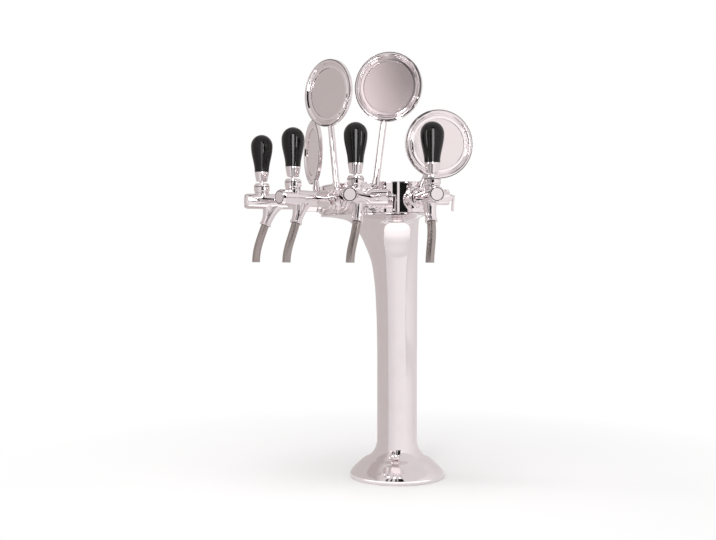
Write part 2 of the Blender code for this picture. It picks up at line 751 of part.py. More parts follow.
def bonnet_mesh():
    """Cap that holds the lever's ball and lets its neck swing."""
    bottom = BODY_RADIUS + SEAT_RISE + SEAT_GAP - PIVOT_RISE
    swing = math.radians(max(LEVER_FORWARD, LEVER_BACKWARD))
    facing = math.cos(math.pi / TURNED_SIDES)
    cavity = (BALL_RADIUS + SEAT_GAP) / facing ** 2
    dome_start = math.acos(BONNET_TOP_RISE / BONNET_DOME_RADIUS)
    lip_turn = math.acos(BONNET_LIP_RISE / cavity)
    mouth = BONNET_TOP_RISE * math.tan(swing) + LEVER_NECK_RADIUS / math.cos(swing)
    skirt = -bottom * math.tan(swing) + LEVER_FINGER_RADIUS / math.cos(swing)
    outline = [
        *arc(BONNET_DOME_RADIUS, dome_start, math.radians(90), BONNET_DOME_STEPS),
        (BONNET_RADIUS, -BONNET_SHOULDER_DROP), (BONNET_RADIUS, bottom),
        (skirt + FERRULE_GAP, bottom),
        *arc(cavity, math.radians(90), lip_turn, BONNET_CAVITY_STEPS),
        (mouth + FERRULE_GAP, BONNET_TOP_RISE),
    ]
    return built(turned("bonnet", outline, ring=True))


def lever_mesh():
    """Ferrule, neck, ball and finger of the hand lever, in one turned piece."""
    under = BONNET_DOME_RADIUS + FERRULE_GAP
    edge_turn = math.asin(FERRULE_BOTTOM_RADIUS / under)
    neck_turn = math.asin(LEVER_NECK_RADIUS / under)
    ball_start = math.asin(LEVER_NECK_RADIUS / BALL_RADIUS)
    ball_end = math.pi - math.asin(LEVER_FINGER_RADIUS / BALL_RADIUS)
    stud_top = FERRULE_TOP_RISE + STUD_LENGTH
    outline = [
        (0, stud_top), (STUD_RADIUS, stud_top), (STUD_RADIUS, FERRULE_TOP_RISE),
        (FERRULE_TOP_RADIUS, FERRULE_TOP_RISE),
        *arc(under, edge_turn, neck_turn, FERRULE_CUP_STEPS),
        *arc(BALL_RADIUS, ball_start, ball_end, BALL_STEPS),
        (LEVER_FINGER_RADIUS, -LEVER_FINGER_LENGTH), (0, -LEVER_FINGER_LENGTH),
    ]
    return built(turned("lever", outline))


def knob_mesh():
    """Black handle, widest two thirds of the way up, with a round top."""
    base = FERRULE_TOP_RISE + SEAT_GAP
    widest = base + KNOB_LENGTH * KNOB_WIDEST_SHARE
    crown = base + KNOB_LENGTH - widest
    outline = []
    for i in range(KNOB_CROWN_STEPS + 1):
        turn = math.radians(90) * i / KNOB_CROWN_STEPS
        outline.append((KNOB_RADIUS * math.sin(turn), widest + crown * math.cos(turn)))
    for i in range(1, KNOB_WAIST_STEPS + 1):
        down = i / KNOB_WAIST_STEPS
        swell = (1 + math.cos(math.pi * down ** KNOB_SWELL_SHARE)) / 2
        radius = FERRULE_TOP_RADIUS + (KNOB_RADIUS - FERRULE_TOP_RADIUS) * swell
        outline.append((radius, widest + (base - widest) * down))
    hole_top = FERRULE_TOP_RISE + STUD_LENGTH + KNOB_STUD_CLEARANCE
    hole = STUD_RADIUS + SEAT_GAP
    outline += [(hole, base), (hole, hole_top), (0, hole_top)]
    return built(turned("knob", outline))


def piston_mesh():
    """Valve piston: a guide with the finger's hole, a stem and a rear head."""
    guide = BODY_BORE_RADIUS - SEAT_GAP
    head = BODY_CHAMBER_RADIUS - SEAT_GAP
    front = PISTON_GUIDE_LENGTH / 2
    head_back = -PISTON_HEAD_SETBACK
    head_front = head_back + PISTON_HEAD_LENGTH
    outline = [
        (0, front), (guide, front), (guide, -front), (PISTON_STEM_RADIUS, -front),
        (PISTON_STEM_RADIUS, head_front), (head, head_front), (head, head_back), (0, head_back),
    ]
    hole = rod("finger_hole", PISTON_HOLE_RADIUS, PISTON_HOLE_FLOOR, guide + OVERRUN, HIDDEN_SIDES)
    hole.rotation_euler = (math.radians(-90), 0, 0)
    return built(turned("piston", outline), cut=[hole])


def compensator_lever_mesh():
    """Spindle and flat arm that set the flow at the side of the tap."""
    collar_back = SIDE_BOSS_REACH + SEAT_GAP
    collar_front = collar_back + SPINDLE_COLLAR_LENGTH
    tip = SIDE_BOSS_REACH - SIDE_HOLE_DEPTH + SEAT_GAP
    outline = [
        (0, collar_front), (SPINDLE_COLLAR_RADIUS, collar_front),
        (SPINDLE_COLLAR_RADIUS, collar_back), (SPINDLE_RADIUS, collar_back),
        (SPINDLE_RADIUS, tip), (0, tip),
    ]
    spindle = turned("compensator_lever", outline, HIDDEN_SIDES)
    half_width = ARM_PLATE_WIDTH / 2
    plate = block("arm_plate",
                  (-ARM_PLATE_DROP, -half_width, collar_front - ARM_PLATE_ROUNDING),
                  (half_width, half_width, collar_front + ARM_PLATE_THICKNESS))
    rounding = plate.modifiers.new("Rounded edges", "BEVEL")
    rounding.width = ARM_PLATE_ROUNDING
    rounding.segments = 1
    return built(spindle, joined=[plate])


def medallion_distance(index):
    outer = index in (0, TAP_COUNT - 1)
    return OUTER_MEDALLION_DISTANCE if outer else INNER_MEDALLION_DISTANCE


def medallion_lean(index):
    """Angle about the tap's axis that leans an arm away from the middle of the fan."""
    outer = index in (0, TAP_COUNT - 1)
    lean = OUTER_MEDALLION_LEAN if outer else INNER_MEDALLION_LEAN
    return math.radians(lean if tap_angle(index) < 0 else -lean)


def medallion_arm_mesh(distance):
    """Ring round the shank with a rod that carries the medallion on a pin."""
    half = ARM_RING_THICKNESS / 2
    ring_outline = [(ARM_RING_RADIUS, half), (ARM_RING_RADIUS, -half),
                    (SHANK_HOLE_RADIUS, -half), (SHANK_HOLE_RADIUS, half)]
    ring = turned("medallion_arm", ring_outline, ring=True)
    root = (SHANK_HOLE_RADIUS + ARM_RING_RADIUS) / 2
    rod_end = distance - MEDALLION_RADIUS - SEAT_GAP
    pin_end = rod_end + ARM_PIN_LENGTH
    outline = [
        (0, pin_end), (ARM_PIN_RADIUS, pin_end), (ARM_PIN_RADIUS, rod_end),
        (ARM_ROD_RADIUS, rod_end), (ARM_ROD_RADIUS, ARM_SLEEVE_END),
        (ARM_SLEEVE_RADIUS, ARM_SLEEVE_END), (ARM_SLEEVE_RADIUS, ARM_NECK_END),
        (ARM_NECK_RADIUS, ARM_NECK_END), (ARM_NECK_RADIUS, root), (0, root),
    ]
    stem = turned("arm_stem", outline, HIDDEN_SIDES)
    stem.rotation_euler = (math.radians(-90), 0, 0)
    return built(ring, joined=[stem])


def medallion_housing_mesh():
    """Round pan with a raised rim, and a hole in its edge for the arm's pin."""
    half = MEDALLION_THICKNESS / 2
    floor = -half + MEDALLION_FLOOR
    recess = MEDALLION_RADIUS * MEDALLION_FACE_SHARE
    outline = [(0, floor), (recess, floor)]
    for radius_share, height_share in MEDALLION_RIM_SHARES:
        outline.append((MEDALLION_RADIUS * radius_share, half * height_share))
    outline.append((0, -half))
    pan = turned("medallion_housing", outline, ROUND_SIDES)
    hole = rod("pin_hole", ARM_PIN_RADIUS + SEAT_GAP, -MEDALLION_RADIUS - OVERRUN,
               ARM_PIN_LENGTH + SEAT_GAP - MEDALLION_RADIUS, HIDDEN_SIDES)
    hole.rotation_euler = (math.radians(-90), 0, 0)
    return built(pan, cut=[hole])


def medallion_face_mesh():
    """Flat bare plate set into the housing."""
    back = MEDALLION_FLOOR + SEAT_GAP - MEDALLION_THICKNESS / 2
    radius = MEDALLION_RADIUS * MEDALLION_FACE_SHARE - SEAT_GAP
    return built(rod("medallion_face", radius, back, back + FACE_THICKNESS, ROUND_SIDES))


def place_tap(index, meshes):
    """One tap with everything that is hung on its axis."""
    number = index + 1
    axis = link_frame(f"tap_axis_{number}", None, (0, 0, TAP_HEIGHT), tap_rotation(index))
    link_piece(f"shank_{number}", meshes["shank"], STEEL, axis)
    link_piece(f"rosette_{number}", meshes["rosette"], CHROME, axis, (0, 0, ROSETTE_BACK))
    link_piece(f"coupling_nut_{number}", meshes["coupling_nut"], CHROME, axis, (0, 0, NUT_BACK))
    link_piece(f"tap_body_{number}", meshes["tap_body"], CHROME, axis, (0, 0, BODY_BACK))
    link_piece(f"nozzle_{number}", meshes["nozzle"], STEEL, axis, (0, 0, BODY_BACK))
    link_piece(f"piston_{number}", meshes["piston"], BRASS, axis, (0, 0, LEVER_PLACE))

    upright = Euler((math.radians(-90), 0, 0))
    pivot = link_frame(f"lever_pivot_{number}", axis, (0, PIVOT_RISE, LEVER_PLACE), upright)
    link_piece(f"bonnet_{number}", meshes["bonnet"], CHROME, pivot)
    link_piece(f"lever_{number}", meshes["lever"], CHROME, pivot)
    link_piece(f"knob_{number}", meshes["knob"], BLACK, pivot)

    # The spindle's own +Z turns to the side and its +X turns up
    sideways = Euler((math.radians(90), 0, math.radians(90)))
    spindle = link_frame(f"spindle_axis_{number}", axis, (0, 0, SIDE_BOSS_PLACE), sideways)
    link_piece(f"compensator_lever_{number}", meshes["compensator_lever"], CHROME, spindle)

    leaning = Euler((0, 0, medallion_lean(index)))
    arm = link_frame(f"arm_axis_{number}", axis, (0, 0, ARM_PLANE), leaning)
    distance = medallion_distance(index)
    link_piece(f"medallion_arm_{number}", meshes[distance], CHROME, arm)
    disc = (0, distance, 0)
    link_piece(f"medallion_housing_{number}", meshes["medallion_housing"], PLATED, arm, disc)
    link_piece(f"medallion_face_{number}", meshes["medallion_face"], SATIN, arm, disc)


clear_scene()
PARTS = new_collection("beer_tower_dispenser")
GUIDES = new_collection("cutters")

column_shell()
head_band()
head_cover()
mounting_plate()
for tap in range(TAP_COUNT):
    beer_line(tap)

TAP_MESHES = {
    "shank": shank_mesh(),
    "rosette": rosette_mesh(),
    "coupling_nut": coupling_nut_mesh(),
    "tap_body": tap_body_mesh(),
    "nozzle": nozzle_mesh(),
    "piston": piston_mesh(),
    "bonnet": bonnet_mesh(),
    "lever": lever_mesh(),
    "knob": knob_mesh(),
    "compensator_lever": compensator_lever_mesh(),
    "medallion_housing": medallion_housing_mesh(),
    "medallion_face": medallion_face_mesh(),
    INNER_MEDALLION_DISTANCE: medallion_arm_mesh(INNER_MEDALLION_DISTANCE),
    OUTER_MEDALLION_DISTANCE: medallion_arm_mesh(OUTER_MEDALLION_DISTANCE),
}
for tap in range(TAP_COUNT):
    place_tap(tap, TAP_MESHES)
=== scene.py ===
import math

import bmesh
import bpy
from mathutils import Matrix, Vector


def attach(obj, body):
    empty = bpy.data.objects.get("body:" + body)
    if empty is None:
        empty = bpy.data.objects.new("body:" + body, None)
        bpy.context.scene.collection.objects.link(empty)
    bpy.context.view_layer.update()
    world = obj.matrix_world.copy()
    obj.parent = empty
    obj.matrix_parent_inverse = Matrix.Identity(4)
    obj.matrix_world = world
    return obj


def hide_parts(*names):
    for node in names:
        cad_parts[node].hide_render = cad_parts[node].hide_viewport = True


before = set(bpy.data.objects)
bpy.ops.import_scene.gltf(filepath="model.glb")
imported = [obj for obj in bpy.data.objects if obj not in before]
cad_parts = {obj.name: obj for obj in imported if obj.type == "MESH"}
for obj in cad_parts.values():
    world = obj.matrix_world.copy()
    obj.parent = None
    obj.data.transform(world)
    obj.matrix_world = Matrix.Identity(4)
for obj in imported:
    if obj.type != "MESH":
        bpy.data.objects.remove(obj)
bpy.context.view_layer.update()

mm = 0.001
tapNumbers = (1, 2, 3, 4)  # from the left, as one faces the taps
print("frame loaded with", len(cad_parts), "nodes")


# Shader building

class Sock:
    def __init__(self, shade, out):
        self.shade = shade
        self.out = out

    def __add__(self, other):
        return self.shade.math("ADD", self, other)

    def __radd__(self, other):
        return self.shade.math("ADD", other, self)

    def __mul__(self, other):
        return self.shade.math("MULTIPLY", self, other)

    def __rmul__(self, other):
        return self.shade.math("MULTIPLY", other, self)

    def beside(self, name):
        return Sock(self.shade, self.out.node.outputs[name])  # another output of the same node


class Shade:
    def __init__(self, tree):
        self.tree = tree

    def add(self, kind, settings=None, out=0, **inputs):
        node = self.tree.nodes.new(kind)
        for name, value in (settings or {}).items():
            setattr(node, name, value)
        for name, value in inputs.items():
            key = int(name[1:]) if name[0] == "i" and name[1:].isdigit() else name.replace("_", " ")
            self.put(node.inputs[key], value)
        return Sock(self, node.outputs[out])

    def put(self, socket, value):
        if isinstance(value, Sock):
            self.tree.links.new(value.out, socket)
        elif isinstance(value, tuple) and len(value) == 3 and socket.type == "RGBA":
            socket.default_value = (*value, 1)
        else:
            socket.default_value = value

    def math(self, operation, a, b=0.0):
        return self.add("ShaderNodeMath", {"operation": operation}, i0=a, i1=b)

    def between(self, value, low, high):
        return self.add("ShaderNodeMapRange", None, Value=value, From_Min=low, From_Max=high)

    def mix(self, factor, a, b):
        return self.add("ShaderNodeMix", {"data_type": "RGBA"}, 2, i0=factor, i6=a, i7=b)

    def where(self, scale=(1, 1, 1)):
        place = self.add("ShaderNodeTexCoord", None, "Object")
        return self.add("ShaderNodeVectorMath", {"operation": "MULTIPLY"}, i0=place, i1=scale)

    def reach(self):
        return self.add("ShaderNodeVectorMath", {"operation": "LENGTH"}, "Value", i0=self.where())

    def apart(self):
        return self.add("ShaderNodeSeparateXYZ", None, "X", Vector=self.where())

    def noise(self, size, detail=3.0, rough=0.5, stretch=(1, 1, 1)):
        return self.add("ShaderNodeTexNoise", None, 0, Vector=self.where(stretch), Scale=1 / size,
                        Detail=detail, Roughness=rough)

    def bump(self, depth, height):
        return self.add("ShaderNodeBump", None, Strength=1.0, Distance=depth, Height=height)


def newMaterial(name):
    made = bpy.data.materials.new(name)
    made.use_nodes = True
    shade = Shade(made.node_tree)
    return made, shade, made.node_tree.nodes["Principled BSDF"].inputs


chromeLook = {"tint": (0.85, 0.80, 0.81), "shadeTint": (0.78, 0.725, 0.73), "shade": 0.5,
              "roughness": 0.03, "smudge": 0.05, "smudgeSize": 0.035, "smudgeGrain": (5, 0.6),
              "smudgeSpan": (0.45, 0.75), "hazeFineness": 6, "hazeGrain": (4, 0.7),
              "hazeSpan": (0.35, 0.8), "waveSize": 0.05, "waveGrain": (2, 0.4), "waveDepth": 0.00004}


def polishedChrome(name, look):
    made, shade, shader = newMaterial(name)
    smudge = shade.between(shade.noise(look["smudgeSize"], *look["smudgeGrain"]), *look["smudgeSpan"])
    haze = shade.between(shade.noise(look["smudgeSize"] / look["hazeFineness"], *look["hazeGrain"]),
                         *look["hazeSpan"])
    shade.put(shader["Base Color"], shade.mix(look["shade"] * smudge, look["tint"], look["shadeTint"]))
    shade.put(shader["Roughness"], look["roughness"] + smudge * haze * look["smudge"])
    shade.put(shader["Metallic"], 1.0)
    wave = shade.noise(look["waveSize"], *look["waveGrain"])
    shade.put(shader["Normal"], shade.bump(look["waveDepth"], wave))
    return made


steelLook = {"tint": (0.465, 0.418, 0.40), "darkTint": (0.35, 0.308, 0.29), "roughness": 0.24,
             "streak": 0.14, "streakSize": 0.0006, "streakGrain": (4, 0.6), "stretch": 0.03,
             "patch": 0.05, "patchSize": 0.02, "grainDepth": 0.000012}


def brushedSteel(name, look, grainAxis):
    made, shade, shader = newMaterial(name)
    stretch = tuple(look["stretch"] if i == grainAxis else 1.0 for i in range(3))
    streak = shade.noise(look["streakSize"], *look["streakGrain"], stretch)
    patch = shade.noise(look["patchSize"])
    shade.put(shader["Base Color"], shade.mix(streak, look["darkTint"], look["tint"]))
    shade.put(shader["Roughness"], look["roughness"] + streak * look["streak"] + patch * look["patch"])
    shade.put(shader["Metallic"], 1.0)
    shade.put(shader["Normal"], shade.bump(look["grainDepth"], streak))
    return made


plateLook = {"tint": (0.74, 0.68, 0.685), "paler": 1.06, "roughness": 0.14, "ring": 0.06, "patch": 0.04,
             "patchSize": 0.03, "patchDetail": 4, "ringSize": 0.0009, "ringDetail": 3,
             "ringDepth": 0.000006}


def spunPlate(name, look):
    made, shade, shader = newMaterial(name)
    across = shade.apart()
    up = across.beside("Y")
    reach = shade.math("SQRT", across * across + up * up)
    rings = shade.add("ShaderNodeTexNoise", {"noise_dimensions": "1D"}, W=reach,
                      Scale=1 / look["ringSize"], Detail=look["ringDetail"])
    patch = shade.noise(look["patchSize"], look["patchDetail"])
    paler = tuple(min(1.0, value * look["paler"]) for value in look["tint"])
    shade.put(shader["Base Color"], shade.mix(patch, look["tint"], paler))
    shade.put(shader["Roughness"], look["roughness"] + rings * look["ring"] + patch * look["patch"])
    shade.put(shader["Metallic"], 1.0)
    shade.put(shader["Normal"], shade.bump(look["ringDepth"], rings))
    return made


knobLook = {"tint": (0.003, 0.003, 0.003), "paleTint": (0.007, 0.006, 0.006), "roughness": 0.10,
            "patch": 0.05, "patchSize": 0.012, "patchGrain": (5, 0.6), "scuff": 0.12,
            "scuffSize": 0.0016, "scuffGrain": (4, 0.7), "scuffStretch": (1, 1, 0.25),
            "scuffSpan": (0.52, 0.8), "grainSize": 0.0009, "grainDetail": 2, "grainDepth": 0.000004,
            "gloss": 0.30}


def glossPlastic(name, look):
    made, shade, shader = newMaterial(name)
    patch = shade.noise(look["patchSize"], *look["patchGrain"])
    scuff = shade.between(shade.noise(look["scuffSize"], *look["scuffGrain"], look["scuffStretch"]),
                          *look["scuffSpan"])
    grain = shade.noise(look["grainSize"], look["grainDetail"])
    shade.put(shader["Base Color"], shade.mix(patch, look["tint"], look["paleTint"]))
    shade.put(shader["Roughness"], look["roughness"] + scuff * look["scuff"] + patch * look["patch"])
    shade.put(shader["Specular IOR Level"], look["gloss"])
    shade.put(shader["Normal"], shade.bump(look["grainDepth"], grain))
    return made


plainLook = {"patch": 0.12, "patchSize": 0.006, "patchGrain": (4, 0.6), "metallic": 0.0}
brassLook = {**plainLook, "tint": (0.62, 0.44, 0.20), "paleTint": (0.74, 0.57, 0.31), "roughness": 0.25,
             "metallic": 1.0}
hoseLook = {**plainLook, "tint": (0.74, 0.75, 0.72), "paleTint": (0.84, 0.85, 0.83), "roughness": 0.40}
# painted shade: a near-black finish for the walls of fine gaps and grooves, standing in for the shade that
# falls in them
paintedShadeLook = {**plainLook, "tint": (0.012, 0.011, 0.011), "paleTint": (0.03, 0.027, 0.026), "roughness": 0.5}


def plainFinish(name, look):
    made, shade, shader = newMaterial(name)
    patch = shade.noise(look["patchSize"], *look["patchGrain"])
    shade.put(shader["Base Color"], shade.mix(patch, look["tint"], look["paleTint"]))
    shade.put(shader["Roughness"], look["roughness"] + patch * look["patch"])
    shade.put(shader["Metallic"], look["metallic"])
    return made


chrome = polishedChrome("polishedChrome", chromeLook)
columnChrome = polishedChrome("columnChrome", {**chromeLook, "roughness": 0.07})
platedPlastic = polishedChrome("platedPlastic", {**chromeLook, "roughness": 0.05, "waveSize": 0.03})
tubeSteel = brushedSteel("tubeSteel", steelLook, 2)
plateSteel = brushedSteel("plateSteel", {**steelLook, "roughness": 0.32}, 0)
facePlate = spunPlate("facePlate", plateLook)
blackPlastic = glossPlastic("blackPlastic", knobLook)
brass = plainFinish("brass", brassLook)
beerHose = plainFinish("beerHose", hoseLook)
# painted shade for the walls of fine gaps
gapPaintedShade = plainFinish("gapPaintedShade", paintedShadeLook)
mirror = (chrome, "mirror_chrome")  # a material and its slot, the last two things that dress() takes
print("materials made")


# Mesh building, in millimetres

sharpAngle = math.radians(32)
weldDistance = 0.002 * mm
onAxis = 1e-9       # a smaller radius, in metres, is a point on the axis
filletLimit = 0.49  # the most of a side's length that one fillet takes
overrun = 4         # how far a cut goes past the face that it opens


def roundedOutline(outline, steps=5):
    rounded = []  # each point is (radius, height) or (radius, height, fillet)
    for i, point in enumerate(outline):
        here = Vector(point[:2])
        fillet = point[2] if len(point) > 2 else 0
        if not fillet:
            rounded.append(here)
            continue
        before = Vector(outline[i - 1][:2]) - here
        after = Vector(outline[(i + 1) % len(outline)][:2]) - here
        half = before.angle(after) / 2
        back = min(fillet / math.tan(half), before.length * filletLimit, after.length * filletLimit)
        radius = back * math.tan(half)
        middle = here + (before.normalized() + after.normalized()).normalized() * (radius / math.sin(half))
        start = here + before.normalized() * back - middle
        end = here + after.normalized() * back - middle
        sweep = start.angle(end)
        for k in range(steps + 1):
            share = k / steps
            turn = (start * math.sin((1 - share) * sweep) + end * math.sin(share * sweep)) / math.sin(sweep)
            rounded.append(middle + turn)
    return rounded


def finishMesh(shape, name):
    bmesh.ops.remove_doubles(shape, verts=shape.verts, dist=weldDistance)
    bmesh.ops.recalc_face_normals(shape, faces=shape.faces)
    mesh = bpy.data.meshes.new(name)
    shape.to_mesh(mesh)
    shape.free()
    mesh.shade_smooth()
    mesh.set_sharp_from_angle(angle=sharpAngle)
    return mesh


def joinRows(shape, rows, ring=False, caps=False):
    for first, second in zip(rows, [*rows[1:], rows[0]] if ring else rows[1:]):
        for i in range(len(first)):
            k = (i + 1) % len(first)
            corners = list(dict.fromkeys((first[i], first[k], second[k], second[i])))
            if len(corners) > 2:  # a row on the axis is one vertex, so a face there is a triangle
                shape.faces.new(corners)
    if caps:
        shape.faces.new(list(reversed(rows[0])))
        shape.faces.new(rows[-1])


def latheMesh(name, outline, sides=96, ring=False, steps=5):
    shape = bmesh.new()
    turns = [math.tau * i / sides for i in range(sides)]
    rows = []
    for point in roundedOutline(outline, steps):
        radius, height = point.x * mm, point.y * mm
        if radius < onAxis:
            rows.append([shape.verts.new((0, 0, height))] * sides)
        else:
            rows.append([shape.verts.new((radius * math.cos(turn), radius * math.sin(turn), height))
                         for turn in turns])
    joinRows(shape, rows, ring)
    return finishMesh(shape, name)


def rodMesh(name, radius, low, high, sides=96):
    return latheMesh(name, [(0, high), (radius, high), (radius, low), (0, low)], sides)


def sweepMesh(name, points, radii, sides, inner=None):
    shape = bmesh.new()  # a round bar, or a tube, along points close to the YZ plane
    turns = [math.tau * k / sides for k in range(sides)]

    def rings(sizes):
        made = []
        for i, point in enumerate(points):
            ahead = (points[min(i + 1, len(points) - 1)] - points[max(i - 1, 0)]).normalized()
            normal = ahead.cross(Vector((1, 0, 0))).normalized()
            side = normal.cross(ahead)
            made.append([shape.verts.new((point + side * (sizes[i] * math.cos(turn))
                                          + normal * (sizes[i] * math.sin(turn))) * mm) for turn in turns])
        return made

    outside = rings(radii)
    if inner is None:
        joinRows(shape, outside, caps=True)
    else:
        joinRows(shape, [*outside, *reversed(rings(inner))], ring=True)
    return finishMesh(shape, name)


def bezierPoints(start, startPull, endPull, end, steps):
    return [start * (1 - t) ** 3 + startPull * (3 * t * (1 - t) ** 2) + endPull * (3 * t * t * (1 - t))
            + end * t ** 3 for t in (i / steps for i in range(steps + 1))]


def looseObject(name, content, matrix=Matrix()):
    made = bpy.data.objects.new(name, content)
    bpy.context.scene.collection.objects.link(made)
    made.matrix_world = matrix
    return made


def combined(name, base, steps):
    helpers = []
    start = looseObject(name, base)
    for operation, mesh, place in steps:
        helper = looseObject(name + "Helper", mesh, place)
        helpers.append(helper)
        step = start.modifiers.new(operation, "BOOLEAN")
        step.operation, step.object, step.solver = operation, helper, "EXACT"
    bpy.context.view_layer.update()
    made = bpy.data.meshes.new_from_object(start.evaluated_get(bpy.context.evaluated_depsgraph_get()))
    made.name = name
    for helper in (start, *helpers):
        bpy.data.objects.remove(helper)
    made.materials.clear()
    made.shade_smooth()
    made.set_sharp_from_angle(angle=sharpAngle)
    return made


def dress(name, mesh, matrix, body, node, material, slot, ownCentre=False):
    own = mesh.copy()
    own.name = name
    marks = [face.material_index for face in mesh.polygons]
    own.materials.clear()
    own.materials.append(material)
    if any(marks):  # faces marked as gap walls, which get the painted gap shade
        own.materials.append(gapPaintedShade)
        own.polygons.foreach_set("material_index", marks)
    if not ownCentre:
        own.transform(matrix)
    piece = looseObject(name, own, matrix if ownCentre else along)
    even = piece.modifiers.new("EvenNormals", "WEIGHTED_NORMAL")
    even.keep_sharp = True
    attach(piece, body)
    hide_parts(node)


def markPaintedShade(mesh, nearest, farthest, low, high):
    for face in mesh.polygons:  # marks the walls of a fine gap between two rims, for a near-black painted shade
        x, y, z = face.center / mm
        face.material_index = int(nearest < math.hypot(x, y) < farthest and low < z < high)
    return mesh


along = Matrix.Identity(4)                        # a lathe's +Z stays, out of the head
upright = Matrix.Rotation(-math.pi / 2, 4, "X")   # a lathe's +Z to a tap's up
sideways = Matrix.Rotation(math.pi / 2, 4, "Y")   # a lathe's +Z to a tap's side


def slide(x=0, y=0, z=0):
    return Matrix.Translation((x * mm, y * mm, z * mm))


# Column, head and cover

headForm = {"front": 126.0, "back": 38.0, "halfAngle": 52.0, "sharpness": 40.0, "frontSteps": 84,
            "backSteps": 108}  # sharpness is a power: the more, the tighter the corners
columnForm = {"foot": 77.5, "rim": 6.8, "rimRounding": 1.1, "slope": 50.7, "radius": 32.8,
              "height": 429.0, "wall": 2.2, "flare": 222.0, "lip": 2.5, "rimPoint": 6,
              "footShares": ((0, 0), (0.056, 0.073), (0.311, 0.300), (0.481, 0.428), (0.732, 0.552),
                             (0.924, 0.763), (1, 1)),  # (inward, up) from the rim to the column
              "flareShares": ((0, 0), (0.020, 0.300), (0.057, 0.528), (0.118, 0.679), (0.207, 0.777),
                              (0.307, 0.866), (0.507, 0.966), (0.750, 0.992), (1, 1))}  # (outward, up)


def fanRadius(turn, inset=0.0):
    turn = abs(math.remainder(turn, math.tau))
    front, back = headForm["front"] - inset, headForm["back"] - inset
    tangent = math.radians(headForm["halfAngle"]) + math.acos(headForm["back"] / headForm["front"])
    if turn >= tangent:
        return back
    lean = math.cos(turn - tangent)
    if lean <= 0:
        return front
    power = -headForm["sharpness"]
    return front * (1 + (back / lean / front) ** power) ** (1 / power)


def fanTurns():
    corner = math.radians(headForm["halfAngle"])
    front, back = headForm["frontSteps"], headForm["backSteps"]
    rest = math.tau - 2 * corner
    return ([corner * (2 * i / front - 1) for i in range(front)]
            + [corner + rest * i / back for i in range(back)])


def fanRing(shape, height, radiusAt):
    return [shape.verts.new((radiusAt(turn) * math.sin(turn) * mm, -radiusAt(turn) * math.cos(turn) * mm,
                             height * mm)) for turn in fanTurns()]


def fanMesh(name, rows, ring=False, caps=False):
    shape = bmesh.new()  # each row is (height, radius as a function of the angle)
    joinRows(shape, [fanRing(shape, height, radiusAt) for height, radiusAt in rows], ring, caps)
    return finishMesh(shape, name)


def smoothRow(points, each=8):
    spans = [(b - a).length for a, b in zip(points, points[1:])]
    slopes = [(b - a) / span for a, b, span in zip(points, points[1:], spans)]
    pulls = [slopes[0]]
    for i in range(1, len(points) - 1):
        pulls.append((slopes[i - 1] * spans[i] + slopes[i] * spans[i - 1]) / (spans[i] + spans[i - 1]))
    pulls.append(slopes[-1])
    row = []
    for i, span in enumerate(spans):
        for k in range(each):
            t = k / each
            near, far = 2 * t ** 3 - 3 * t * t + 1, 3 * t * t - 2 * t ** 3
            leave, arrive = span * (t ** 3 - 2 * t * t + t), span * (t ** 3 - t * t)
            row.append(points[i] * near + pulls[i] * leave + points[i + 1] * far + pulls[i + 1] * arrive)
    return [*row, points[-1]]


def makeColumn():
    form = columnForm
    inward = form["foot"] - form["radius"]
    outward = headForm["front"] - form["radius"]
    foot = smoothRow([Vector((form["foot"] - share * inward, form["rim"] + up * form["slope"]))
                      for share, up in form["footShares"]])
    edge = roundedOutline([(form["foot"], 0), (form["foot"], form["rim"], form["rimRounding"]),
                           tuple(foot[form["rimPoint"]])])  # the rim is blended into that point
    flareBottom = form["height"] - form["flare"]
    flare = smoothRow([Vector((share * outward, flareBottom + up * (form["flare"] - form["lip"])))
                       for share, up in form["flareShares"]])
    rows = [(point.y, lambda turn, radius=point.x: radius)
            for point in [*edge, *foot[form["rimPoint"] + 1:]]]
    for point in [*flare, Vector((outward, form["height"]))]:
        share = min(point.x / outward, 1.0)
        rows.append((point.y, lambda turn, share=share:
                     form["radius"] + share * (fanRadius(turn) - form["radius"])))
    mesh = fanMesh("columnSkin", rows)
    piece = looseObject("columnSkin", mesh)
    mesh.materials.append(columnChrome)
    wall = piece.modifiers.new("Wall", "SOLIDIFY")
    wall.thickness, wall.offset = form["wall"] * mm, -1
    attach(piece, "tower")
    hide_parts("column_shell")


bandForm = {"bottom": 429.3, "top": 474.0, "wall": 2.0, "rounding": 0.35, "hole": 10.2, "holeFrom": 100,
            "holeTo": 140}
coverForm = {"under": 474.3, "top": 476.3, "rounding": 0.9, "roundSteps": 6, "chamfer": 0.2,
             "lipDrop": 1.5, "lipOut": 2.6, "lipIn": 4.1}


def insetAt(depth):
    return lambda turn: fanRadius(turn, depth)


def makeHead():
    form, soft = bandForm, bandForm["rounding"]
    outside = [(form["bottom"], soft), (form["bottom"] + soft, 0), (form["top"] - soft, 0),
               (form["top"], soft)]
    inside = [(form["top"], form["wall"]), (form["bottom"], form["wall"])]
    wall = fanMesh("headWall", [(height, insetAt(depth)) for height, depth in outside + inside], ring=True)
    drill = rodMesh("shankHole", form["hole"], form["holeFrom"], form["holeTo"])
    holes = [("DIFFERENCE", drill, tapMatrix(i)) for i in tapNumbers]
    dress("headWall", combined("headWall", wall, holes), along, "tower", "head_band", *mirror)
    form, soft = coverForm, coverForm["rounding"]
    under, drop, chamfer = form["under"], form["under"] - form["lipDrop"], form["chamfer"]
    rows = [(under, form["lipIn"]), (drop, form["lipIn"]), (drop, form["lipOut"]), (under, form["lipOut"]),
            (under, chamfer), (under + chamfer, 0)]
    for k in range(form["roundSteps"] + 1):
        turn = math.radians(90) * k / form["roundSteps"]
        rows.append((form["top"] - soft + soft * math.sin(turn), soft - soft * math.cos(turn)))
    lid = fanMesh("headLid", [(height, insetAt(depth)) for height, depth in rows], caps=True)
    dress("headLid", lid, along, "tower", "head_cover", *mirror)


# Taps, in a frame with X to the side, Y up and Z out of the head

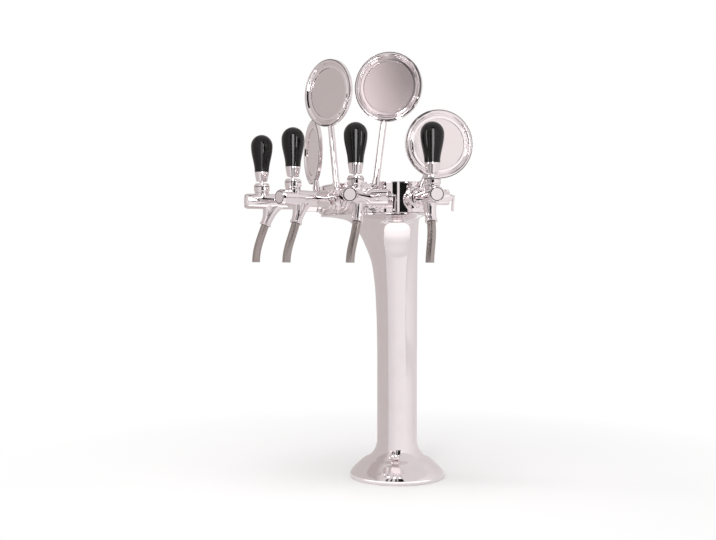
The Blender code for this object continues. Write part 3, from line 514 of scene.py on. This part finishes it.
tapForm = {"height": 449.0, "spacing": 28.0, "rosette": 126.3, "arm": 134.3, "nut": 137.6,
           "body": 156.3, "side": 178.0, "lever": 226.0, "pivotRise": 22.5}


def tapTurn(i):
    return math.radians(tapForm["spacing"] * (i - sum(tapNumbers) / len(tapNumbers)))


def tapMatrix(i):
    turn = Matrix.Rotation(tapTurn(i), 4, "Z") @ Matrix.Rotation(math.pi / 2, 4, "X")
    return slide(z=tapForm["height"]) @ turn


def pivotMatrix(i):
    return tapMatrix(i) @ slide(y=tapForm["pivotRise"], z=tapForm["lever"]) @ upright


def boxMesh(name, low, high):
    shape = bmesh.new()
    bmesh.ops.create_cube(shape, size=1.0)
    for vert in shape.verts:
        vert.co = Vector((high[k] if vert.co[k] > 0 else low[k]) * mm for k in range(3))
    return finishMesh(shape, name)


rosetteForm = {"radius": 19.0, "thickness": 4.7, "rounding": 1.7, "hole": 10.2, "seatGap": 0.25,
               "backDepth": 0.1}


def makeRosette():
    form = rosetteForm
    mesh = latheMesh("rosetteCap", [(form["radius"], form["thickness"], form["rounding"]),
                                    (form["radius"], 0), (form["hole"], 0),
                                    (form["hole"], form["thickness"])], ring=True, steps=8)
    for vert in mesh.vertices:  # the back follows the round front of the head
        if vert.co.z < form["backDepth"] * mm:
            reach = math.sqrt((headForm["front"] + form["seatGap"]) ** 2 - (vert.co.x / mm) ** 2)
            vert.co.z = (reach - tapForm["rosette"]) * mm
    return mesh


nutForm = {"corner": 17.0, "length": 18.4, "chamfer": 1.9, "faceInset": 0.5, "coneReach": 0.6,
           "bore": 10.2}


def makeNut():
    form = nutForm
    flats = rodMesh("nutFlats", form["corner"], 0, form["length"], sides=6)
    facing = form["corner"] * math.cos(math.pi / 6) - form["faceInset"]
    widest = form["corner"] + form["coneReach"]
    ends = latheMesh("nutEnds", [(0, form["length"]), (facing, form["length"]),
                                 (widest, form["length"] - form["chamfer"]), (widest, form["chamfer"]),
                                 (facing, 0), (0, 0)])
    bore = rodMesh("nutBore", form["bore"], -overrun, form["length"] + overrun)
    return combined("couplingNut", flats, [("INTERSECT", ends, along), ("DIFFERENCE", bore, along)])


bodyForm = {"length": 96.7, "radius": 12.0, "nose": 10.5, "noseTaper": 4.0, "noseDrop": 0.2,
            "noseRounding": 0.6, "taperRounding": 1.2, "flange": 15.0, "flangeLength": 5.7,
            "flangeRounding": 0.9, "cornerRounding": 0.8, "backRounding": 0.6, "boss": 11.6,
            "bossReach": 37.0, "bossRounding": 1.0, "bossPlace": 21.7, "seat": 11.2, "seatTop": 13.0,
            "seatRounding": 0.3, "seatPlace": 69.7, "bore": 6.4, "boreEnd": 91.7, "chamber": 8.6,
            "chamberEnd": 46.0, "spindle": 3.3, "spindleDepth": 13.0, "slotHalf": 3.2,
            "slotBack": 11.78, "slotFront": 8.85}
grooveForm = {"inner": 1.95, "innerFloor": 1.8, "outerFloor": 1.0, "outer": 0.9, "depth": 1.3,
              "rounding": 0.2, "rise": 0.1, "slack": 0.01}  # round the nose's disc, in from its edge
spoutForm = {"place": 36.0, "reach": 28.5, "drop": 38.0, "lean": 20.0, "pullShare": 0.45, "steps": 40,
             "root": 10.4, "tip": 8.0, "bore": 4.0, "lipLength": 3.2,
             "lip": ((0.15, 0.15), (0.3, 0.7), (0.5, 1.0), (0.9, 1.2), (2.3, 1.2), (2.75, 1.0),
                     (3.05, 0.7), (3.2, 0.2))}  # each point of the lip is (along, outward)
hornForm = {"place": 58.0, "drop": 12.0, "shift": 1.0, "lead": 13.0, "gap": 0.6, "steps": 32,
            "root": 11.2, "tip": 7.7, "power": 1.5, "waist": 0.5}


def spoutRoute():
    form = spoutForm
    lean = math.radians(form["lean"])
    root = Vector((0, -math.sin(lean), math.cos(lean)))
    tip = Vector((0, -math.cos(lean), math.sin(lean)))
    start = Vector((0, 0, form["place"]))
    end = start + Vector((0, -form["drop"], form["reach"]))
    neck = end - tip * form["lipLength"]
    points = bezierPoints(start, start + root * (form["reach"] * form["pullShare"]),
                          neck - tip * (form["drop"] * form["pullShare"]), neck, form["steps"])
    return points, end, tip


def makeSpout():
    form = spoutForm
    points, end, tip = spoutRoute()
    radii = [form["root"] + (form["tip"] - form["root"]) * i / form["steps"]
             for i in range(form["steps"] + 1)]
    lip = [points[-1] + tip * far for far, size in form["lip"]]
    lipRadii = [form["tip"] + size for far, size in form["lip"]]
    spout = sweepMesh("spoutSweep", [*points, *lip], [*radii, *lipRadii], sides=64)
    drill = [*points, end + tip * overrun]
    bore = sweepMesh("spoutBore", drill, [form["bore"]] * len(drill), sides=32)
    return spout, bore


def makeHorn():
    form = hornForm
    points, end, tip = spoutRoute()
    route = bezierPoints(Vector((0, 0, form["place"])),
                         Vector((0, -form["drop"], form["place"] + form["shift"])),
                         points[-1] - tip * form["lead"], points[-1] - tip * form["gap"], form["steps"])
    radii = []
    for i in range(form["steps"] + 1):
        share = i / form["steps"]
        radii.append(form["tip"] + (form["root"] - form["tip"]) * (1 - share) ** form["power"]
                     - form["waist"] * math.sin(math.pi * share) ** 2)
    return sweepMesh("spoutHorn", route, radii, sides=64)


def makeBody():
    form, groove = bodyForm, grooveForm
    nose, length = form["nose"], form["length"]
    barrel = latheMesh("tapBarrel", [
        (0, length), (nose - groove["inner"], length, groove["rounding"]),
        (nose - groove["innerFloor"], length - groove["depth"]),
        (nose - groove["outerFloor"], length - groove["depth"]),
        (nose - groove["outer"], length - groove["rise"], groove["rounding"]),
        (nose, length - form["noseDrop"], form["noseRounding"]),
        (form["radius"], length - form["noseTaper"], form["taperRounding"]),
        (form["radius"], form["flangeLength"], form["cornerRounding"]),
        (form["flange"], form["flangeLength"], form["flangeRounding"]),
        (form["flange"], 0, form["backRounding"]), (0, 0)], sides=128)
    boss = latheMesh("sideBoss", [
        (0, form["bossReach"]), (form["boss"], form["bossReach"], form["bossRounding"]),
        (form["boss"], 0), (0, 0)])
    seat = latheMesh("bonnetSeat", [
        (0, form["seatTop"]), (form["seat"], form["seatTop"], form["seatRounding"]),
        (form["seat"], 0), (0, 0)])
    spout, spoutBore = makeSpout()
    bore = latheMesh("mainBore", [
        (0, form["boreEnd"]), (form["bore"], form["boreEnd"]), (form["bore"], form["chamberEnd"]),
        (form["chamber"], form["chamberEnd"]), (form["chamber"], -overrun), (0, -overrun)], sides=64)
    hole = rodMesh("spindleHole", form["spindle"], form["bossReach"] - form["spindleDepth"],
                   form["bossReach"] + overrun, sides=48)
    slot = boxMesh("fingerSlot", (-form["slotHalf"], 0, form["seatPlace"] - form["slotBack"]),
                   (form["slotHalf"], form["seatTop"] + overrun, form["seatPlace"] + form["slotFront"]))
    side = slide(z=form["bossPlace"]) @ sideways
    top = slide(z=form["seatPlace"]) @ upright
    casting = combined("tapCasting", barrel, [
        ("UNION", boss, side), ("UNION", seat, top), ("UNION", spout, along), ("UNION", makeHorn(), along),
        ("DIFFERENCE", bore, along), ("DIFFERENCE", spoutBore, along), ("DIFFERENCE", hole, side),
        ("DIFFERENCE", slot, along)])
    slack = groove["slack"]
    # the walls of the nose's groove get painted shade
    return markPaintedShade(casting, nose - groove["inner"] + slack, nose - groove["outer"] - slack,
                  length - groove["depth"] - slack, length - groove["rise"] - slack)


nozzleForm = {"radius": 6.2, "inner": 5.2, "aside": 5.5, "reach": 13.4, "drop": 57.9, "rootShare": 0.43,
              "tipShare": 0.34, "gap": 0.3, "steps": 40}


def makeNozzle():
    form = nozzleForm
    end, tip = spoutRoute()[1:]
    start = end + tip * form["gap"]
    stop = start + Vector((-form["aside"], -form["drop"], form["reach"]))
    points = bezierPoints(start, start + tip * (form["drop"] * form["rootShare"]),
                          stop + Vector((0, form["drop"] * form["tipShare"], 0)), stop, form["steps"])
    return sweepMesh("pouringTube", points, [form["radius"]] * len(points), sides=48,
                     inner=[form["inner"]] * len(points))


# Bonnet, lever and knob, in a frame at the lever's pivot with Z up

def arcOutline(radius, start, end, steps):
    return [(radius * math.sin(start + (end - start) * k / steps),
             radius * math.cos(start + (end - start) * k / steps)) for k in range(steps + 1)]


bonnetForm = {"radius": 12.5, "bottom": -9.2, "dome": 11.9, "domeTop": 5.5, "domeEnd": 73.0,
              "shoulderInset": 0.1, "shoulder": 2.6, "rounding": 0.8, "groove": 0.3, "grooveHalf": 0.4,
              "grooveEdge": 0.1, "grooveMark": 0.48, "grooveDepth": 0.5, "edgeRounding": 0.2,
              "skirt": 8.12, "neck": 11.3, "neckTop": -6.0, "neckDrop": 0.9, "neckRounding": 0.5,
              "footRounding": 0.3, "mouth": 7.72, "mouthRounding": 0.3, "cavity": 7.82, "lip": 4.0,
              "domeSteps": 8, "cavitySteps": 12}


def makeBonnet():
    form = bonnetForm
    groove, half = form["groove"], form["grooveHalf"]
    floor, shoulder = form["dome"] - form["grooveDepth"], form["radius"] - form["shoulderInset"]
    start = math.acos(form["domeTop"] / form["dome"])
    bonnet = latheMesh("leverBonnet", [
        *arcOutline(form["dome"], start, math.radians(form["domeEnd"]), form["domeSteps"]),
        (shoulder, groove + form["shoulder"], form["rounding"]),
        (shoulder, groove + half + form["grooveEdge"], form["edgeRounding"]),
        (floor, groove + half), (floor, groove - half),
        (form["radius"], groove - half - form["grooveEdge"], form["edgeRounding"]),
        (form["radius"], form["neckTop"], form["rounding"]),
        (form["neck"], form["neckTop"] - form["neckDrop"], form["neckRounding"]),
        (form["neck"], form["bottom"], form["footRounding"]), (form["skirt"], form["bottom"]),
        *arcOutline(form["cavity"], math.pi / 2, math.acos(form["lip"] / form["cavity"]),
                    form["cavitySteps"]),
        (form["mouth"], form["domeTop"], form["mouthRounding"])], ring=True)
    # the walls of the bonnet's groove get painted shade
    return markPaintedShade(bonnet, floor - form["grooveEdge"], shoulder + form["grooveEdge"] / 2,
                  groove - form["grooveMark"], groove + form["grooveMark"])


leverForm = {"under": 12.4, "bottom": 8.7, "bottomRounding": 0.5, "top": 11.35, "topRounding": 0.4,
             "rise": 23.7, "waistInset": 0.15, "waistDrop": 2.2, "waistRounding": 1.5, "neck": 3.5,
             "ball": 7.0, "finger": 2.0, "fingerEnd": -19.5, "fingerRounding": 0.8, "stud": 4.0,
             "studLength": 21.0, "studRounding": 0.5, "underSteps": 12, "ballSteps": 24}


def makeLever():
    form = leverForm
    edge = math.asin(form["bottom"] / form["under"])
    neck = math.asin(form["neck"] / form["under"])
    studTop = form["rise"] + form["studLength"]
    return latheMesh("handLever", [
        (0, studTop), (form["stud"], studTop, form["studRounding"]), (form["stud"], form["rise"]),
        (form["top"], form["rise"], form["topRounding"]),
        (form["top"] - form["waistInset"], form["rise"] - form["waistDrop"], form["waistRounding"]),
        (form["bottom"], form["under"] * math.cos(edge), form["bottomRounding"]),
        *arcOutline(form["under"], edge, neck, form["underSteps"])[1:],
        *arcOutline(form["ball"], math.asin(form["neck"] / form["ball"]),
                    math.pi - math.asin(form["finger"] / form["ball"]), form["ballSteps"]),
        (form["finger"], form["fingerEnd"], form["fingerRounding"]), (0, form["fingerEnd"])])


knobForm = {"base": 24.0, "baseRounding": 0.7, "length": 58.5, "radius": 17.15, "bottom": 11.35,
            "widestShare": 0.70, "swell": 1.05, "hole": 4.3, "holeTop": 45.7, "crownSteps": 28,
            "swellSteps": 32}  # swell is a power: the more, the slower the knob narrows


def makeKnob():
    form = knobForm
    widest = form["base"] + form["length"] * form["widestShare"]
    crown = form["base"] + form["length"] - widest
    outline = []
    for k in range(form["crownSteps"] + 1):
        turn = math.pi / 2 * k / form["crownSteps"]
        outline.append((form["radius"] * math.sin(turn), widest + crown * math.cos(turn)))
    for k in range(1, form["swellSteps"] + 1):
        down = k / form["swellSteps"]
        swell = (1 + math.cos(math.pi * down ** form["swell"])) / 2
        outline.append((form["bottom"] + (form["radius"] - form["bottom"]) * swell,
                        widest + (form["base"] - widest) * down))
    outline[-1] = (*outline[-1], form["baseRounding"])
    outline += [(form["hole"], form["base"]), (form["hole"], form["holeTop"]), (0, form["holeTop"])]
    return latheMesh("leverKnob", outline, sides=128)


# Compensator lever, in a frame with X up and Z to the tap's side

compensatorForm = {"collar": 4.7, "collarLength": 5.8, "collarRounding": 0.8, "spindle": 3.0,
                   "spindleRounding": 0.4, "reach": 37.3, "tip": 24.3, "width": 6.6, "thickness": 2.4,
                   "drop": 20.5, "outer": 46.5, "bend": 1.4, "bendRate": 1.3, "endHalf": 0.02, "steps": 48}
flagMatrix = Matrix(((0, 0, 1, 0), (1, 0, 0, 0), (0, 1, 0, 0), (0, 0, 0, 1)))  # that frame in a tap's


def makeFlag():
    form = compensatorForm
    shape = bmesh.new()  # a flat flag, round at both ends, with a slow S bend
    half, low, high = form["width"] / 2, -form["drop"], form["width"] / 2
    rows = []
    for k in range(form["steps"] + 1):
        place = low + (high - low) * (1 - math.cos(math.pi * k / form["steps"])) / 2
        fromEnd = min(place - low, high - place)
        width = half * math.sqrt(max(0.0, 1 - max(0.0, 1 - fromEnd / half) ** 2)) + form["endHalf"]
        down = min(1, (place - high) / (low - high) * form["bendRate"])
        away = form["outer"] - form["thickness"] / 2 - form["bend"] * (1 - math.cos(math.pi * down)) / 2
        rows.append([shape.verts.new((place * mm, side * width * mm,
                                      (away + face * form["thickness"] / 2) * mm))
                     for side, face in ((-1, -1), (1, -1), (1, 1), (-1, 1))])
    joinRows(shape, rows, caps=True)
    return finishMesh(shape, "compensatorFlag")


def makeCompensator():
    form = compensatorForm
    front = form["reach"] + form["collarLength"]
    spindle = latheMesh("compensator", [
        (0, front), (form["collar"], front, form["collarRounding"]),
        (form["collar"], form["reach"], form["spindleRounding"]), (form["spindle"], form["reach"]),
        (form["spindle"], form["tip"], form["spindleRounding"]), (0, form["tip"])], sides=64)
    return combined("compensator", spindle, [("UNION", makeFlag(), along)])


# Medallions and their arms, in a frame with Y along the arm and Z out

medallionForm = {"radius": 52.6, "half": 3.5, "floor": -1.7, "recess": 38.92, "pad": 0.9,
                 "padRounding": 0.35, "edgeRounding": 0.7, "pin": 2.1, "pinDepth": 4.3, "face": 38.62,
                 "faceBack": -1.4, "faceFront": -0.4, "faceRounding": 0.25, "inner": 170.5, "outer": 90.7,
                 "innerLean": 7.6, "outerLean": 22.7,
                 "rim": ((9.5, 0.9, 0.8), (8.3, -0.2, 0.6), (7.2, -0.2, 0.7), (5.2, 2.9, 1.6),
                         (3.4, 3.5, 2.0), (1.7, 2.9, 0.3), (1.45, 1.5, 0), (1.0, 1.5, 0),
                         (0.8, 2.3, 0.2), (0, 2.1, 0.4)),  # each point is (inset, height, fillet)
                 "gap": (1.6, 0.85, 1.4, 2.8)}  # the rim's fine gap, whose walls get painted shade: its insets and its heights


def makeHousing():
    form = medallionForm
    radius, half = form["radius"], form["half"]
    rim = [(radius - inset, height, fillet) for inset, height, fillet in form["rim"]]
    pan = latheMesh("medallionPan", [
        (0, form["floor"]), (form["recess"], form["floor"]),
        (form["recess"], form["pad"], form["padRounding"]), *rim, (radius, -half, form["edgeRounding"]),
        (0, -half)], sides=192)
    hole = rodMesh("pinHole", form["pin"], -overrun, form["pinDepth"], sides=32)
    pan = combined("medallionPan", pan, [("DIFFERENCE", hole, slide(y=-radius) @ upright)])
    # the walls of the rim's gap get painted shade
    inner, outer, low, high = form["gap"]
    return markPaintedShade(pan, radius - inner, radius - outer, low, high)


def makeFace():
    form = medallionForm
    return latheMesh("medallionPlate", [
        (0, form["faceFront"]), (form["face"], form["faceFront"], form["faceRounding"]),
        (form["face"], form["faceBack"]), (0, form["faceBack"])], sides=160)


armForm = {"ring": 16.0, "half": 3.0, "hole": 10.2, "rounding": 0.7, "neck": 2.8, "neckStart": 13.1,
           "neckEnd": 19.8, "sleeve": 6.25, "sleeveEnd": 28.0, "sleeveRounding": 0.6, "sleeveFoot": 0.9,
           "rod": 5.0, "rodGap": 0.3, "pin": 1.8, "pinLength": 4.0, "pinRounding": 0.3}


def makeArm(distance):
    form = armForm
    ring = latheMesh("medallionArm", [
        (form["ring"], form["half"], form["rounding"]), (form["ring"], -form["half"], form["rounding"]),
        (form["hole"], -form["half"]), (form["hole"], form["half"])], ring=True)
    rodEnd = distance - medallionForm["radius"] - form["rodGap"]
    pinEnd = rodEnd + form["pinLength"]
    sleeve, neck = form["sleeve"], form["neck"]
    stem = latheMesh("armStem", [
        (0, pinEnd), (form["pin"], pinEnd, form["pinRounding"]), (form["pin"], rodEnd),
        (form["rod"], rodEnd, form["sleeveRounding"]), (form["rod"], form["sleeveEnd"]),
        (sleeve, form["sleeveEnd"], form["sleeveRounding"]), (sleeve, form["neckEnd"], form["sleeveFoot"]),
        (neck, form["neckEnd"]), (neck, form["neckStart"]), (0, form["neckStart"])], sides=64)
    return combined("medallionArm", ring, [("UNION", stem, upright)])


def armKind(i):
    return "outer" if i in (tapNumbers[0], tapNumbers[-1]) else "inner"


def armMatrix(i):
    lean = math.copysign(math.radians(medallionForm[armKind(i) + "Lean"]), -tapTurn(i))
    return tapMatrix(i) @ slide(z=tapForm["arm"]) @ Matrix.Rotation(lean, 4, "Z")


makeColumn()
makeHead()
print("column, head and cover made")
rosetteMesh, nutMesh, bodyMesh, nozzleMesh = makeRosette(), makeNut(), makeBody(), makeNozzle()
bonnetMesh, leverMesh, knobMesh = makeBonnet(), makeLever(), makeKnob()
compensatorMesh, housingMesh, faceMesh = makeCompensator(), makeHousing(), makeFace()
armMeshes = {key: makeArm(medallionForm[key]) for key in ("inner", "outer")}
print("tap pieces made")
for i in tapNumbers:
    tap, pivot, arm = tapMatrix(i), pivotMatrix(i), armMatrix(i)
    disc = arm @ slide(y=medallionForm[armKind(i)])
    dress(f"rosetteCap{i}", rosetteMesh, tap @ slide(z=tapForm["rosette"]), "tower", f"rosette_{i}",
          *mirror)
    dress(f"couplingNut{i}", nutMesh, tap @ slide(z=tapForm["nut"]), "tower", f"coupling_nut_{i}",
          *mirror)
    dress(f"tapCasting{i}", bodyMesh, tap @ slide(z=tapForm["body"]), "tower", f"tap_body_{i}",
          *mirror)
    dress(f"pouringTube{i}", nozzleMesh, tap @ slide(z=tapForm["body"]), "tower", f"nozzle_{i}",
          tubeSteel, "brushed_steel")
    dress(f"leverBonnet{i}", bonnetMesh, pivot, "tower", f"bonnet_{i}", *mirror)
    dress(f"handLever{i}", leverMesh, pivot, f"hand_lever_{i}", f"lever_{i}", *mirror)
    dress(f"leverKnob{i}", knobMesh, pivot, f"hand_lever_{i}", f"knob_{i}", blackPlastic, "black_plastic")
    dress(f"compensator{i}", compensatorMesh, tap @ slide(z=tapForm["side"]) @ flagMatrix,
          f"compensator_{i}", f"compensator_lever_{i}", *mirror)
    dress(f"medallionArm{i}", armMeshes[armKind(i)], arm, "tower", f"medallion_arm_{i}", *mirror)
    dress(f"medallionPan{i}", housingMesh, disc, f"medallion_{i}", f"medallion_housing_{i}",
          platedPlastic, "plated_plastic")
    dress(f"medallionPlate{i}", faceMesh, disc, f"medallion_{i}", f"medallion_face_{i}",
          facePlate, "satin_plate", ownCentre=True)  # its spun rings go round its own centre
print("taps and medallions placed")

# Hidden pieces, which keep the shapes of their CAD nodes

carried = {"mounting_plate": plateSteel}
for i in tapNumbers:
    carried.update({f"beer_line_{i}": beerHose, f"shank_{i}": plateSteel, f"piston_{i}": brass})
for node, finish in carried.items():
    for slot in bpy.data.objects[node].material_slots:
        slot.material = finish
print("hidden pieces finished")


# Camera, floor and studio light

cameraForm = {"place": (0.8062, -1.4396, 0.3593), "heading": 31.49, "pitch": -0.68, "lens": 50.3,
              "sensor": 36}
view = looseObject("photoCamera", bpy.data.cameras.new("photoCamera"))
view.location = cameraForm["place"]
view.rotation_euler = (math.radians(90 + cameraForm["pitch"]), 0, math.radians(cameraForm["heading"]))
view.data.lens, view.data.sensor_width = cameraForm["lens"], cameraForm["sensor"]
bpy.context.scene.camera = view

oneFace = [(0, 1, 2, 3)]
darkTone = (0.01, 0.01, 0.01)


def glowMaterial(name, tone):
    made, shade, shader = newMaterial(name)
    shade.put(shader["Base Color"], (0, 0, 0))
    shade.put(shader["Specular IOR Level"], 0.0)
    shade.put(shader["Emission Color"], tone(shade) if callable(tone) else tone)
    shade.put(shader["Emission Strength"], 1.0)
    return made


def stagePiece(name, verts, faces, material):
    mesh = bpy.data.meshes.new(name)
    mesh.from_pydata(verts, [], faces)
    mesh.materials.append(material)
    made = looseObject(name, mesh)
    return made


def glowPiece(name, verts, faces, tone):
    made = stagePiece(name, verts, faces, glowMaterial(name + "Tone", tone))
    made.visible_camera = made.visible_shadow = made.visible_diffuse = False  # only the chrome sees it


def around(azimuth, radius, height):
    turn = math.radians(azimuth)  # 0 is the front, and it grows towards +X
    return (radius * math.sin(turn), -radius * math.cos(turn), height)


def panel(start, end, radius, low, high):
    return [around(start, radius, low), around(end, radius, low), around(end, radius, high),
            around(start, radius, high)]


def square(half, height):
    return [(-half, -half, height), (half, -half, height), (half, half, height), (-half, half, height)]


floorForm = {"half": 9.0, "tint": (0.95, 0.942, 0.943), "dim": 0.985, "patchSize": 0.5,
             "patchDetail": 2, "roughness": 0.9, "gloss": 0.2, "fadeStart": 0.20, "fadeEnd": 0.75}


def floorPaper():
    form = floorForm
    made, shade, shader = newMaterial("floorPaper")
    patch = shade.noise(form["patchSize"], form["patchDetail"])
    dim = tuple(value * form["dim"] for value in form["tint"])
    shade.put(shader["Base Color"], shade.mix(patch, dim, form["tint"]))
    shade.put(shader["Roughness"], form["roughness"])
    shade.put(shader["Specular IOR Level"], form["gloss"])
    away = shade.between(shade.reach(), form["fadeStart"], form["fadeEnd"])
    camera = shade.add("ShaderNodeLightPath", None, "Is Camera Ray")
    seen = shade.math("MINIMUM", camera + camera.beside("Is Glossy Ray"), 1.0)
    glow = shade.add("ShaderNodeEmission", None, Color=(1, 1, 1), Strength=1.0)
    plain = Sock(shade, made.node_tree.nodes["Principled BSDF"].outputs[0])
    blend = shade.add("ShaderNodeMixShader", None, i0=away * seen, i1=plain, i2=glow)
    shade.put(made.node_tree.nodes["Material Output"].inputs["Surface"], blend)
    return made


wallForm = {"radius": 2.3, "top": 2.2, "step": 8, "fronts": (2, 3)}  # fronts: spans the floor takes up too
wallTones = ((-155, (0.63, 0.59, 0.58)), (-22, (0.64, 0.595, 0.585)), (-20, (0.79, 0.755, 0.762)),
             (29, (0.965, 0.93, 0.935)), (75, (1.0, 0.965, 0.97)), (140, (0.86, 0.82, 0.82)),
             (205, (0.72, 0.68, 0.68)))  # (azimuth, tone), blended from each to the next
sectorForm = {"steps": 11, "height": 0.0005, "near": 0.16, "left": (-153, -21), "right": (80, 201),
              "rightTone": (0.82, 0.78, 0.78)}
glowForm = {"height": 0.0007, "near": 0.083, "far": 0.52, "span": (-20, 79), "fadeStart": 0.17,
            "fadeEnd": 0.46, "pale": (1.5, 1.44, 1.44), "dim": (0.83, 0.80, 0.806)}


def floorSector(name, span, near, far, height, tone):
    steps = sectorForm["steps"]
    places = [around(span[0] + (span[1] - span[0]) * k / steps, reach, height)
              for reach in (near, far) for k in range(steps + 1)]
    faces = [(k, k + 1, k + steps + 2, k + steps + 1) for k in range(steps)]
    glowPiece(name, places, faces, tone)


def makeWalls():
    radius, top = wallForm["radius"], wallForm["top"]
    for k, ((start, first), (end, second)) in enumerate(zip(wallTones, wallTones[1:])):
        steps = max(1, round((end - start) / wallForm["step"]))
        for j in range(steps):
            mark = f"{k}{chr(ord('a') + j)}"
            a, b = start + (end - start) * j / steps, start + (end - start) * (j + 1) / steps
            share = (j + 0.5) / steps
            tone = tuple(p + (q - p) * share for p, q in zip(first, second))
            glowPiece(f"studioWall{mark}", panel(a, b, radius, 0, top), oneFace, tone)
            if k in wallForm["fronts"]:
                floorSector(f"floorFront{mark}", (a, b), glowForm["far"], radius, sectorForm["height"],
                            tone)


def glowTone(shade):
    away = shade.between(shade.reach(), glowForm["fadeStart"], glowForm["fadeEnd"])
    return shade.mix(away, glowForm["pale"], glowForm["dim"])


def makeSectors():
    form, radius = sectorForm, wallForm["radius"]
    floorSector("floorShadeLeft", form["left"], form["near"], radius, form["height"], wallTones[1][1])
    floorSector("floorShadeRight", form["right"], form["near"], radius, form["height"], form["rightTone"])
    floorSector("floorGlow", glowForm["span"], glowForm["near"], glowForm["far"], glowForm["height"],
                glowTone)


ceilingForm = {"half": 2.5, "tone": (0.80, 0.765, 0.765), "leftTone": (0.53, 0.47, 0.47),
               "fadeStart": -1.3, "fadeEnd": -0.6}


def ceilingTone(shade):
    across = shade.between(shade.apart(), ceilingForm["fadeStart"], ceilingForm["fadeEnd"])
    return shade.mix(across, ceilingForm["leftTone"], ceilingForm["tone"])


discForm = {"left": -0.03, "right": 0.07, "low": 0.68, "high": 0.84, "sideShare": 0.7, "upShare": 0.3,
            "pale": (1.36, 1.22, 1.23), "dim": (0.0, 0.0, 0.0)}


def discTone(shade):
    place = shade.apart()
    across = shade.between(place, discForm["left"], discForm["right"])
    up = shade.between(place.beside("Z"), discForm["low"], discForm["high"])
    return shade.mix(across * discForm["sideShare"] + up * discForm["upShare"], discForm["pale"],
                     discForm["dim"])


cardDistance = 0.9
cards = {"darkCard1": (26.7, 0.07, 0.425, 1.6, darkTone),  # each is (azimuth, width, bottom, top, tone)
         "darkCard2": (40.9, 0.27, 0.425, 1.6, darkTone),
         "discCard": (0.0, 0.30, 0.54, 0.90, discTone),
         "faceCard": (56.0, 0.30, 0.53, 0.78, (1.14, 1.11, 1.11))}
slatForm = {"azimuths": (0.5, 13, 26.4, 35), "distance": 0.42, "width": 0.043, "low": 0.375, "high": 0.60}


def makeCard(name, azimuth, width, low, high, tone):
    middle = Vector(around(azimuth, cardDistance, 0))
    aside = Vector((math.cos(math.radians(azimuth)), math.sin(math.radians(azimuth)), 0)) * (width / 2)
    corners = [middle + aside * side + Vector((0, 0, height))
               for side, height in ((-1, low), (1, low), (1, high), (-1, high))]
    glowPiece(name, corners, oneFace, tone)


def makeSlats():
    form = slatForm
    half = math.degrees(math.atan(form["width"] / 2 / form["distance"]))
    corners = [corner for azimuth in form["azimuths"] for corner in
               panel(azimuth - half, azimuth + half, form["distance"], form["low"], form["high"])]
    faces = [tuple(range(4 * k, 4 * k + 4)) for k in range(len(form["azimuths"]))]
    glowPiece("darkSlats", corners, faces, darkTone)


lampTone = (1, 0.98, 0.975)
lamps = {"topLight": ((0.2, -0.5, 1.9), (0, 0, 0.3), (1.1, 1.1), 14),  # (place, aim, size, power)
         "leftLight": (around(-70, 2.0, 1.0), (0, 0, 0.35), (0.5, 1.4), 6),
         "stripLight": (around(16, 0.9, 0.80), (0, 0, 0.6), (0.20, 0.9), 2.4)}
knobLight = {"radius": 0.226, "height": 0.538, "azimuth": 36, "distance": 0.07, "size": (0.022, 0.10),
             "powers": (0.02, 0.07, 0.07, 0.07)}


def softBox(name, place, aim, size, power):
    lamp = bpy.data.lights.new(name, "AREA")
    lamp.shape, lamp.size, lamp.size_y = "RECTANGLE", *size
    lamp.energy, lamp.color = power, lampTone
    holder = looseObject(name, lamp)
    holder.location = place
    holder.rotation_euler = (Vector(aim) - Vector(place)).to_track_quat("-Z", "Y").to_euler()
    holder.visible_camera = False
    return holder


def makeLamps():
    for name, (place, aim, size, power) in lamps.items():
        softBox(name, place, aim, size, power).visible_glossy = False
    for i, power in zip(tapNumbers, knobLight["powers"]):
        knob = Vector(around(math.degrees(tapTurn(i)), knobLight["radius"], knobLight["height"]))
        place = knob + Vector(around(knobLight["azimuth"], knobLight["distance"], 0))
        softBox(f"knobLight{i}", place, knob, knobLight["size"], power).visible_diffuse = False


def whiteRoom(ambient):
    world = bpy.data.worlds.new("whiteRoom")
    bpy.context.scene.world = world
    world.use_nodes = True
    shade = Shade(world.node_tree)
    background = world.node_tree.nodes["Background"]
    camera = shade.add("ShaderNodeLightPath", None, "Is Camera Ray")
    rays = camera + camera.beside("Is Glossy Ray") + camera.beside("Is Transmission Ray")
    seen = shade.math("MINIMUM", rays, 1.0)
    shade.put(background.inputs["Color"], (1, 1, 1))
    shade.put(background.inputs["Strength"], ambient + seen * (1 - ambient))


stagePiece("studioFloor", square(floorForm["half"], 0), oneFace, floorPaper())
makeWalls()
makeSectors()
glowPiece("ceilingCard", square(ceilingForm["half"], wallForm["top"]), oneFace, ceilingTone)
for name, card in cards.items():
    makeCard(name, *card)
makeSlats()
makeLamps()
whiteRoom(ambient=0.60)
bpy.context.scene.view_settings.view_transform = "Standard"
print("camera, floor and lights set")
